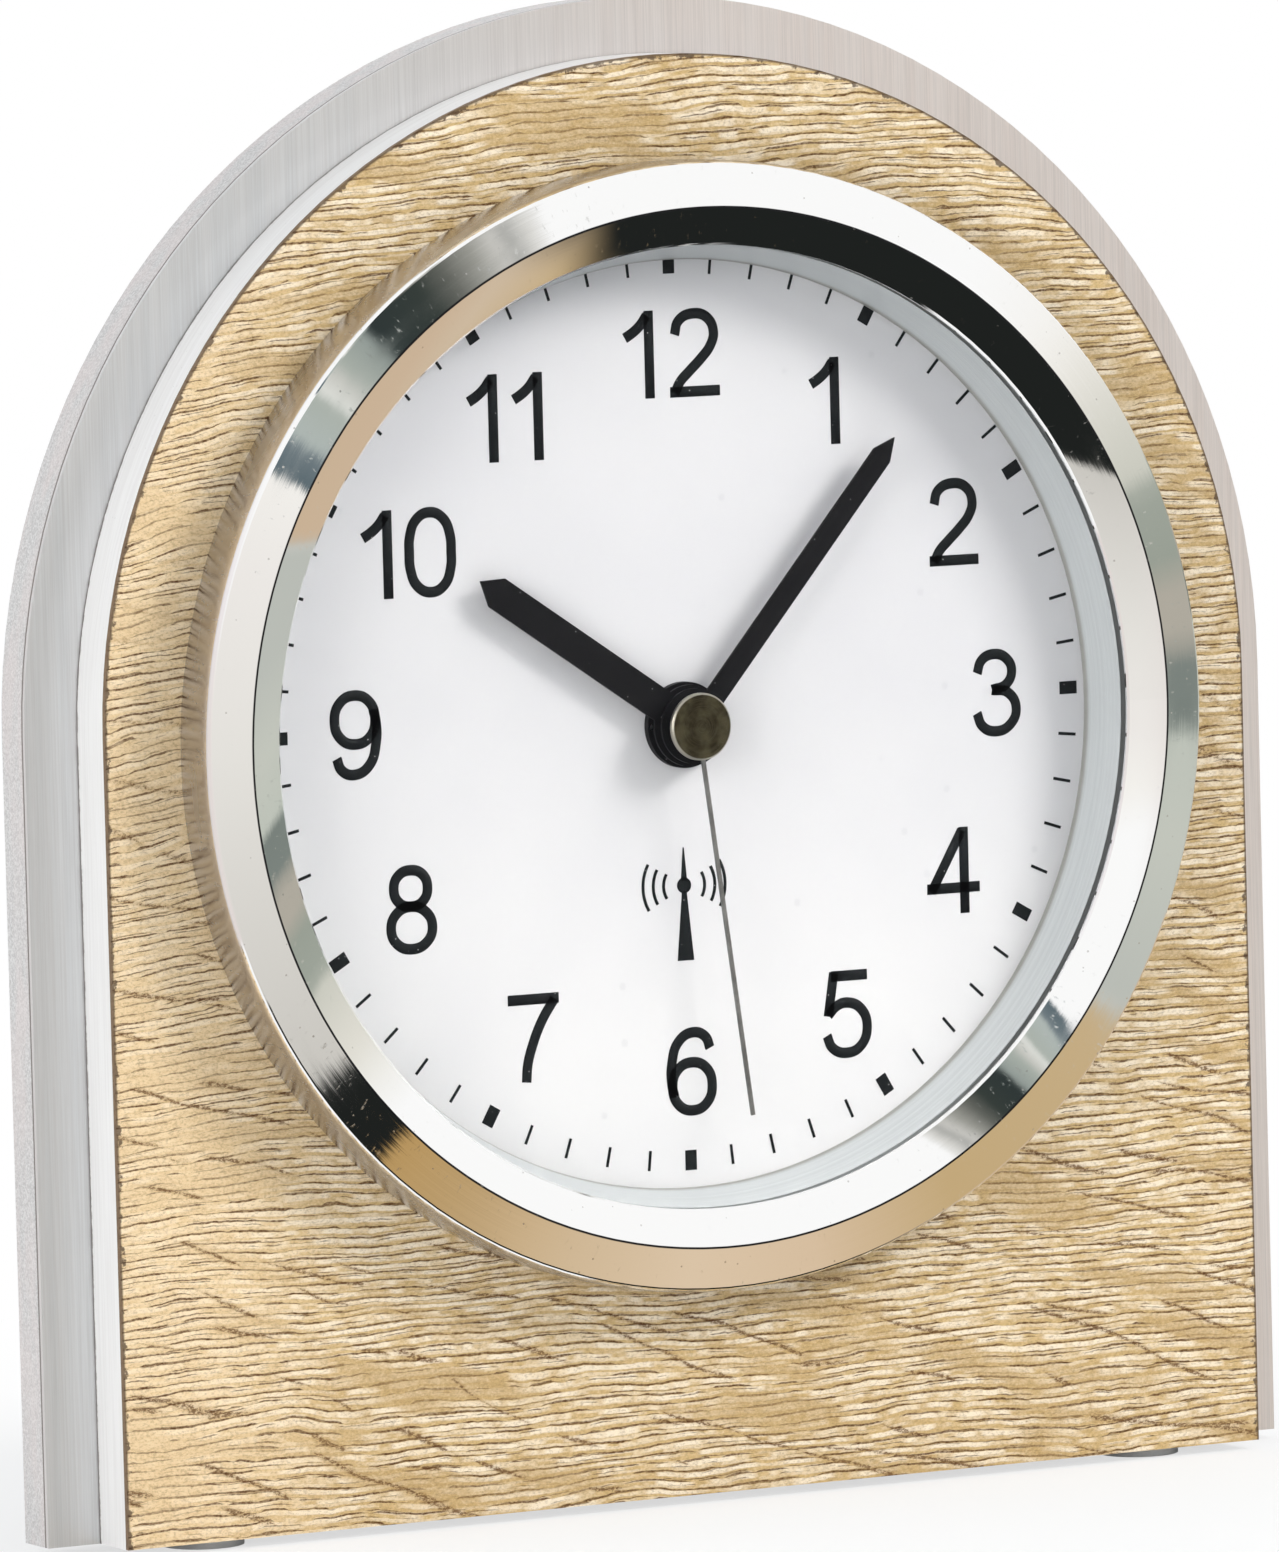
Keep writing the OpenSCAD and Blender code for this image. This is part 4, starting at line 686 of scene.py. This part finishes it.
# Pen strokes of the numerals, in shares of their height: (how the pen moves, places)
STROKES = {
    "0": [("loop", [(0.328, 0.952), (0.50, 0.875), (0.585, 0.68), (0.594, 0.5), (0.585, 0.32), (0.50, 0.125),
                    (0.328, 0.048), (0.156, 0.125), (0.071, 0.32), (0.062, 0.5), (0.071, 0.68), (0.156, 0.875)])],
    "1": [("line", [(0.311, 0.0), (0.311, 1.0)]),
          ("curve", [(0.0, 0.698), (0.10, 0.755), (0.20, 0.835), (0.285, 0.945)])],
    "2": [("curve", [(0.083, 0.71), (0.135, 0.865), (0.325, 0.945), (0.515, 0.885), (0.588, 0.72), (0.545, 0.575),
                     (0.42, 0.43), (0.265, 0.29), (0.135, 0.165), (0.07, 0.04)]),
          ("line", [(0.008, 0.057), (0.656, 0.057)])],
    "3": [("curve", [(0.078, 0.735), (0.14, 0.885), (0.305, 0.948), (0.47, 0.89), (0.538, 0.745), (0.46, 0.59),
                     (0.27, 0.535)]),
          ("curve", [(0.27, 0.535), (0.48, 0.495), (0.588, 0.31), (0.50, 0.12), (0.31, 0.053), (0.135, 0.12),
                     (0.063, 0.275)])],
    "4": [("line", [(0.497, 0.0), (0.497, 1.0)]), ("line", [(0.0, 0.30), (0.70, 0.30)]),
          ("line", [(0.055, 0.262), (0.475, 0.965)])],
    "5": [("line", [(0.135, 0.944), (0.61, 0.944)]), ("line", [(0.172, 0.99), (0.088, 0.485)]),
          ("curve", [(0.09, 0.50), (0.20, 0.60), (0.345, 0.632), (0.52, 0.55), (0.597, 0.345), (0.51, 0.125),
                     (0.315, 0.053), (0.135, 0.12), (0.064, 0.265)])],
    "6": [("curve", [(0.575, 0.755), (0.515, 0.89), (0.355, 0.948), (0.165, 0.85), (0.073, 0.60), (0.066, 0.38),
                     (0.10, 0.22)]),
          ("loop", [(0.335, 0.605), (0.52, 0.53), (0.592, 0.335), (0.52, 0.13), (0.335, 0.053), (0.15, 0.13),
                    (0.078, 0.335), (0.15, 0.53)])],
    "7": [("line", [(0.0, 0.944), (0.656, 0.944)]),
          ("curve", [(0.60, 0.935), (0.43, 0.69), (0.30, 0.41), (0.235, 0.20), (0.215, 0.0)])],
    "8": [("loop", [(0.323, 0.948), (0.48, 0.89), (0.538, 0.742), (0.48, 0.593), (0.323, 0.535), (0.166, 0.593),
                    (0.108, 0.742), (0.166, 0.89)]),
          ("loop", [(0.323, 0.535), (0.515, 0.46), (0.588, 0.29), (0.515, 0.125), (0.323, 0.053), (0.131, 0.125),
                    (0.062, 0.29), (0.131, 0.46)])],
}
NUMERAL_H = 0.195 * TICK_R
NUMERAL_R = 0.80 * TICK_R
PEN_SHARE = 0.122

# Widths and gaps in shares of the numerals' height; the 9 is the 6 turned over
PLAIN_WIDTH = 0.656
WIDTHS = {"1": 0.372, "4": 0.70}
PLAIN_GAP = 0.19
GAPS = {10: 0.152, 11: 0.205}
STROKES["9"] = [(move, [(PLAIN_WIDTH - x, 1 - z) for x, z in points]) for move, points in STROKES["6"]]

# How far each numeral stands right of and above its hour's place, in shares of the tick radius
NUMERAL_SHIFTS = {
    1: (-0.010, -0.016), 2: (0.018, -0.010), 3: (0.013, -0.001), 4: (-0.003, 0.004), 5: (0.006, -0.008),
    6: (0.007, -0.002), 7: (0.013, -0.007), 8: (0.009, 0.005), 9: (-0.010, -0.002), 10: (0.028, -0.010),
    11: (-0.017, -0.016), 12: (0.004, 0.0),
}

# The minute marks, and the mast with its waves, in shares of the tick radius
MARK_H = 0.045
HOUR_MARK_W, MINUTE_MARK_W = 0.029, 0.007
MAST_DROP = 0.385
MAST_KNOB_R = 0.018

# The mast's spikes: (foot's height, tip's height, half the width at the foot, half the width at the tip)
MAST_SPIKES = [(-0.168, -0.012, 0.021, 0.006), (0.01, 0.085, 0.008, 0.0015)]
WAVE_R, WAVE_STEP, WAVE_PEN = 0.052, 0.026, 0.0075
WAVE_SPREADS = (32, 30, 30)


def pen(width):
    """The flat nib that is drawn along a stroke."""
    curve = bpy.data.curves.new("nib", "CURVE")
    nib = curve.splines.new("POLY")
    nib.points.add(3)
    for point, (x, y) in zip(nib.points, ((-1, -1), (1, -1), (1, 1), (-1, 1))):
        point.co = (x * width / 2, y * INK_T / 2, 0, 1)
    nib.use_cyclic_u = True
    piece = bpy.data.objects.new("nib", curve)
    bpy.context.scene.collection.objects.link(piece)
    return piece


def stroke_mesh(strokes, width):
    """The strokes drawn with a pen of that width, as one flat mesh in X and Y."""
    curve = bpy.data.curves.new("strokes", "CURVE")
    curve.dimensions, curve.resolution_u = "2D", 6
    curve.bevel_mode, curve.bevel_object, curve.use_fill_caps = "OBJECT", pen(width), True
    for move, points in strokes:
        spline = curve.splines.new("BEZIER")
        spline.bezier_points.add(len(points) - 1)
        spline.use_cyclic_u = move == "loop"
        for knot, (x, z) in zip(spline.bezier_points, points):
            knot.co = (x, z, 0)
            knot.handle_left_type = knot.handle_right_type = "VECTOR" if move == "line" else "AUTO"
    piece = bpy.data.objects.new("strokes", curve)
    bpy.context.scene.collection.objects.link(piece)
    bpy.context.view_layer.update()
    mesh = bpy.data.meshes.new_from_object(piece.evaluated_get(bpy.context.evaluated_depsgraph_get()))
    bpy.data.objects.remove(curve.bevel_object)
    bpy.data.objects.remove(piece)
    return mesh


def on_dial(x, z):
    """Turns flat drawings to face the viewer and sets them on the dial at that place."""
    return Matrix.Translation((x, DIAL_FACE - INK_T, z)) @ Matrix.Rotation(pi / 2, 4, "X")


def finish_print(form, name):
    """A printed piece from a bmesh, with its faces turned outwards."""
    bmesh.ops.remove_doubles(form, verts=form.verts, dist=0.5e-6)
    bmesh.ops.recalc_face_normals(form, faces=form.faces)
    mesh = bpy.data.meshes.new(name)
    form.to_mesh(mesh)
    form.free()
    piece = bpy.data.objects.new(name, mesh)
    bpy.context.scene.collection.objects.link(piece)
    mesh.materials.append(ink)
    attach(piece, "clock")
    return piece


def numeral_width(digit):
    return WIDTHS.get(digit, PLAIN_WIDTH) * NUMERAL_H


def dial_numerals():
    """The hours from 1 to 12."""
    form = bmesh.new()
    for hour in range(1, 13):
        digits = str(hour)
        right, up = NUMERAL_SHIFTS[hour]
        gap = GAPS.get(hour, PLAIN_GAP) * NUMERAL_H
        width = sum(numeral_width(digit) for digit in digits) + gap * (len(digits) - 1)
        x = PRINT_X + right * TICK_R + NUMERAL_R * sin(radians(30 * hour)) - width / 2
        z = PRINT_Z + up * TICK_R + NUMERAL_R * cos(radians(30 * hour)) - NUMERAL_H / 2
        for digit in digits:
            strokes = [(move, [(a * NUMERAL_H, b * NUMERAL_H) for a, b in points]) for move, points in STROKES[digit]]
            mesh = stroke_mesh(strokes, PEN_SHARE * NUMERAL_H)
            mesh.transform(on_dial(x, z))
            form.from_mesh(mesh)
            bpy.data.meshes.remove(mesh)
            x += numeral_width(digit) + gap
    return finish_print(form, "dial_numerals")


def printed_bar(form, width, height, place):
    """A flat printed bar at a place, and its corners."""
    return bmesh.ops.create_cube(form, size=1, matrix=place @ Matrix.Diagonal((width, height, INK_T, 1)))["verts"]


def dial_minute_marks():
    """A bar for each minute, and a block for each hour."""
    form = bmesh.new()
    for minute in range(60):
        width = HOUR_MARK_W if minute % 5 == 0 else MINUTE_MARK_W
        turned = on_dial(PRINT_X, PRINT_Z) @ Matrix.Rotation(radians(-6 * minute), 4, "Z")
        printed_bar(form, width * TICK_R, MARK_H * TICK_R, turned @ Matrix.Translation((0, TICK_R, 0)))
    return finish_print(form, "dial_minute_marks")


def dial_signal_mast():
    """A plain mast with waves, for a clock that is set by radio."""
    waves = []
    for side in (0, 180):
        for i, spread in enumerate(WAVE_SPREADS):
            radius = (WAVE_R + WAVE_STEP * i) * TICK_R
            waves.append(("curve", arc(radius, side - spread, side + spread, 8)))
    mesh = stroke_mesh(waves, WAVE_PEN * TICK_R)
    form = bmesh.new()
    form.from_mesh(mesh)
    bpy.data.meshes.remove(mesh)
    knob_r = MAST_KNOB_R * TICK_R
    bmesh.ops.create_cone(form, cap_ends=True, segments=32, radius1=knob_r, radius2=knob_r, depth=INK_T)
    for low, high, foot, tip in MAST_SPIKES:
        middle = (low + high) / 2 * TICK_R
        corners = printed_bar(form, 2 * foot * TICK_R, (high - low) * TICK_R, Matrix.Translation((0, middle, 0)))
        tapered = [corner for corner in corners if corner.co.y > middle]
        bmesh.ops.scale(form, verts=tapered, vec=(tip / foot, 1, 1))
    place = on_dial(PRINT_X, PRINT_Z - MAST_DROP * TICK_R)
    bmesh.ops.transform(form, verts=form.verts, matrix=place)
    return finish_print(form, "dial_signal_mast")


ink = dial_ink()
dial_numerals()
dial_minute_marks()
dial_signal_mast()


# Studio

# The floor's half size, and where its own shading gives way to plain white, in metres from the clock
FLOOR_HALF = 30
FADE_START, FADE_END = 0.07, 0.22


def studio_floor():
    """A plain pale floor that keeps the clock's shadow and fades to the white background."""
    form = bmesh.new()
    bmesh.ops.create_grid(form, x_segments=1, y_segments=1, size=FLOOR_HALF)
    mesh = bpy.data.meshes.new("floor")
    form.to_mesh(mesh)
    form.free()
    floor = bpy.data.objects.new("floor", mesh)
    bpy.context.scene.collection.objects.link(floor)
    material, tree, _ = finish_of("floor", (0.92, 0.92, 0.92, 1), 0.8)
    place = add(tree, "TexCoord").outputs["Object"]
    away = add(tree, "VectorMath", {0: place}, operation="LENGTH").outputs["Value"]
    path = add(tree, "LightPath").outputs
    direct = maths(tree, "LESS_THAN", path["Diffuse Depth"], 0.5)
    seen = larger(tree, path["Is Camera Ray"], larger(tree, path["Is Glossy Ray"], path["Is Transmission Ray"]))
    share = times(tree, ramp(tree, away, FADE_START, FADE_END, 0.65, 1.0), times(tree, seen, direct))
    white = add(tree, "Emission", {"Color": (1, 1, 1, 1), "Strength": 1.0}).outputs[0]
    shown = add(tree, "MixShader", {0: share, 1: tree.nodes["Principled BSDF"].outputs[0], 2: white}).outputs[0]

    # Polished faces and the glass mirror the room, not the floor
    mirrored = times(tree, maths(tree, "GREATER_THAN", path["Glossy Depth"], 0.5), direct)
    hidden = add(tree, "BsdfTransparent").outputs[0]
    final = add(tree, "MixShader", {0: mirrored, 1: shown, 2: hidden}).outputs[0]
    tree.links.new(final, tree.nodes["Material Output"].inputs["Surface"])
    mesh.materials.append(material)
    floor.visible_glossy = False


def set_stops(color_ramp, stops):
    """Fills a colour ramp with (place, colour) stops."""
    for element, (at, colour) in zip(color_ramp.elements, (stops[0], stops[-1])):
        element.position, element.color = at, (*colour, 1)
    for at, colour in stops[1:-1]:
        color_ramp.elements.new(at).color = (*colour, 1)


def colour_bands(tree, value, low, high, stops):
    """Colours by a value, from (value, colour) stops."""
    share = add(tree, "MapRange", {"Value": value, "From Min": low, "From Max": high}).outputs["Result"]
    bands = add(tree, "ValToRGB", {"Fac": share})
    set_stops(bands.color_ramp, [((at - low) / (high - low), colour) for at, colour in stops])
    return bands.outputs["Color"]


def between(tree, value, low, high, soft):
    """A mask from one value to another, with edges of a softness."""
    fall = ramp(tree, value, high - soft, high + soft, 1.0, 0.0)
    return times(tree, ramp(tree, value, low - soft, low + soft), fall)


# Colours of the mirrored room: (degrees, colour)
DARK, WHITE = (0.014, 0.016, 0.015), (1, 1, 1)
ROOM = [
    (-90, DARK), (-19, DARK), (-18.3, (0.62, 0.60, 0.56)), (-4, (0.81, 0.79, 0.75)), (4, (0.88, 0.85, 0.82)),
    (9, (0.94, 0.92, 0.88)), (13, WHITE), (90, WHITE),
]
TABLE = [
    (0, (0.48, 0.30, 0.11)), (12, (0.48, 0.30, 0.11)), (16, (0.56, 0.38, 0.18)), (23, (0.66, 0.50, 0.32)),
    (30, (0.74, 0.58, 0.41)), (37, (0.71, 0.54, 0.37)), (44, (0.57, 0.41, 0.21)), (52, (0.59, 0.44, 0.25)),
    (61, (0.64, 0.51, 0.37)), (66, (0.62, 0.47, 0.33)), (90, (0.6, 0.45, 0.3)),
]
RIGHT_WALL = [
    (-90, (0.5, 0.52, 0.48)), (-15, (0.51, 0.53, 0.49)), (-10, (0.57, 0.59, 0.53)), (-6.3, (0.54, 0.57, 0.51)),
    (-5.8, (0.2, 0.23, 0.21)), (-3.2, (0.21, 0.24, 0.22)), (-2.6, (0.45, 0.42, 0.36)), (-0.3, (0.45, 0.42, 0.36)),
    (0.3, (0.33, 0.36, 0.31)), (3.4, (0.36, 0.39, 0.34)), (4.1, (0.62, 0.62, 0.55)), (8.6, (0.78, 0.76, 0.69)),
    (11.4, (0.91, 0.90, 0.86)), (14, WHITE), (90, WHITE),
]
LEANING_FRAME = [
    (0, (0.1, 0.14, 0.16)), (13.5, (0.1, 0.14, 0.16)), (15.4, (0.17, 0.21, 0.23)), (16.0, (0.45, 0.5, 0.48)),
    (18.6, (0.42, 0.46, 0.42)), (19.2, (0.75, 0.76, 0.72)), (20.3, (0.6, 0.6, 0.56)), (21.2, (0.40, 0.44, 0.40)),
    (23.4, (0.30, 0.34, 0.32)), (24.0, (0.03, 0.04, 0.04)), (28, (0.04, 0.05, 0.045)), (30, (0.13, 0.135, 0.12)),
    (32, (0.33, 0.33, 0.30)), (33.6, (0.6, 0.59, 0.56)), (34.6, (0.42, 0.42, 0.4)), (36, (0.72, 0.71, 0.68)),
    (37.4, WHITE), (90, WHITE),
]
ROOM_BEHIND = [
    (-90, WHITE), (-33, WHITE), (-31, (0.78, 0.72, 0.70)), (0, (0.80, 0.745, 0.72)), (20, (0.88, 0.84, 0.85)),
    (40, WHITE), (90, WHITE),
]
DARK_PATCH = (0.06, 0.06, 0.065, 1)


def mirrored_room(tree):
    """What polished metal mirrors, by degrees round (turn) and up (rise)."""
    x, y, z = split(tree, add(tree, "TexCoord").outputs["Generated"])
    turn = times(tree, maths(tree, "ARCTAN2", x, times(tree, y, -1.0)), 180 / pi)
    rise = times(tree, maths(tree, "ARCSINE", z), 180 / pi)

    # A pale room with a dark floor
    colour = colour_bands(tree, plus(tree, rise, ramp(tree, turn, -2, 4, 6.0, 0.0)), -90, 90, ROOM)

    # A table in front, whose far side fades into the dark
    table = times(tree, ramp(tree, turn, 12.0, 12.6), ramp(tree, rise, -16.0, -15.4, 1.0, 0.0))
    far_side = plus(tree, ramp(tree, turn, 45, 55, -30.3, -35.5), ramp(tree, turn, 14, 26, 6.0, 0.0))
    table = times(tree, table, ramp(tree, minus(tree, rise, far_side), -7.0, 2.0))
    colour = tint(tree, table, colour, colour_bands(tree, turn, 0, 90, TABLE))

    # A wall on the right whose bands sink with the distance
    sunk = minus(tree, rise, times(tree, larger(tree, minus(tree, turn, 52.0), 0.0), 0.25))
    wall = times(tree, ramp(tree, turn, 47, 51), ramp(tree, rise, -16.5, -15.0))
    colour = tint(tree, wall, colour, colour_bands(tree, sunk, -90, 90, RIGHT_WALL))

    # A dark frame that leans to the left
    lean = plus(tree, turn, times(tree, rise, 0.87))
    leaning = times(tree, between(tree, lean, 13.5, 37.0, 0.3), ramp(tree, rise, 6.0, 8.0))
    colour = tint(tree, leaning, colour, colour_bands(tree, lean, 0, 90, LEANING_FRAME))

    # The pink-white rest of the room, and a dark patch opposite the glass
    behind = larger(tree, ramp(tree, turn, 84, 92), ramp(tree, turn, -24, -14, 1.0, 0.0))
    colour = tint(tree, behind, colour, colour_bands(tree, rise, -90, 90, ROOM_BEHIND))
    opposite = times(tree, between(tree, turn, 24.0, 33.0, 1.0), between(tree, rise, -9.0, 1.0, 1.0))
    return tint(tree, opposite, colour, DARK_PATCH)


def background(tree, colour, strength=1.0):
    return add(tree, "Background", {"Color": colour, "Strength": strength}).outputs[0]


def studio_world():
    """White for the camera, a soft even light for the clock, and the mirrored room for polished metal."""
    world = bpy.data.worlds.new("studio")
    world.use_nodes = True
    bpy.context.scene.world = world
    tree = world.node_tree
    tree.nodes.clear()
    path = add(tree, "LightPath").outputs
    through = times(tree, path["Is Transmission Ray"], maths(tree, "LESS_THAN", path["Glossy Depth"], 0.5))
    seen = larger(tree, path["Is Camera Ray"], through)
    soft = background(tree, (0.86, 0.96, 1.06, 1), 0.35)
    polished = background(tree, mirrored_room(tree))
    lit = add(tree, "MixShader", {0: path["Is Glossy Ray"], 1: soft, 2: polished}).outputs[0]
    both = add(tree, "MixShader", {0: seen, 1: lit, 2: background(tree, (1, 1, 1, 1))}).outputs[0]
    scattered = maths(tree, "GREATER_THAN", path["Diffuse Depth"], 0.5)
    final = add(tree, "MixShader", {0: scattered, 1: both, 2: soft}).outputs[0]
    tree.links.new(final, add(tree, "OutputWorld").inputs["Surface"])


# Square lamps: (name, place, side in metres, power in watts, colour)
LAMPS = [
    ("key", (1.0, -0.85, 0.95), 0.5, 15.4, (1, 0.98, 0.95)),
    ("fill", (-1.3, -0.55, 0.4), 0.9, 12.2, (1, 0.985, 0.96)),
    ("top", (0.0, 0.1, 1.3), 0.8, 3.5, (1, 1, 1)),
    ("rear", (0.3, 1.3, 0.6), 0.8, 4.0, (1, 1, 1)),
]


def softbox(name, place, side, power, colour):
    """An area lamp that looks at the clock."""
    lamp = bpy.data.lights.new(name, "AREA")
    lamp.color = colour
    lamp.shape, lamp.size, lamp.size_y, lamp.energy = "RECTANGLE", side, side, power
    box = bpy.data.objects.new(name, lamp)
    bpy.context.scene.collection.objects.link(box)
    box.location = place
    box.rotation_mode = "QUATERNION"
    box.rotation_quaternion = (Vector((0, 0, AXIS_Z)) - Vector(place)).to_track_quat("-Z", "Y")
    box.visible_glossy = False


# The camera's place and lens, from the fit to the boards' corners and the bezel's circles
CAMERA_PLACE = (-0.7816, -1.4547, 0.2225)
CAMERA_RIGHT, CAMERA_UP = Vector((0.8794, -0.4755, -0.0257)), Vector((0.0601, 0.0573, 0.9966))
CAMERA_AHEAD = Vector((0.47235, 0.87787, -0.07895))
LENS_MM, SENSOR_MM = 299.45, 36
SHIFT_X, SHIFT_Y = 0.003, 0.0026


def photo_camera():
    """The camera that sees the clock as the photograph does."""
    data = bpy.data.cameras.new("camera")
    data.lens, data.sensor_width = LENS_MM, SENSOR_MM
    data.shift_x, data.shift_y = SHIFT_X, SHIFT_Y
    data.clip_start, data.clip_end = 0.05, 80
    camera = bpy.data.objects.new("camera", data)
    bpy.context.scene.collection.objects.link(camera)
    turn = Matrix((CAMERA_RIGHT, CAMERA_UP, -CAMERA_AHEAD)).transposed().to_4x4()
    camera.matrix_world = Matrix.Translation(CAMERA_PLACE) @ turn
    bpy.context.scene.camera = camera


studio_floor()
studio_world()
for settings in LAMPS:
    softbox(*settings)
photo_camera()
bpy.context.scene.view_settings.view_transform = "Standard"
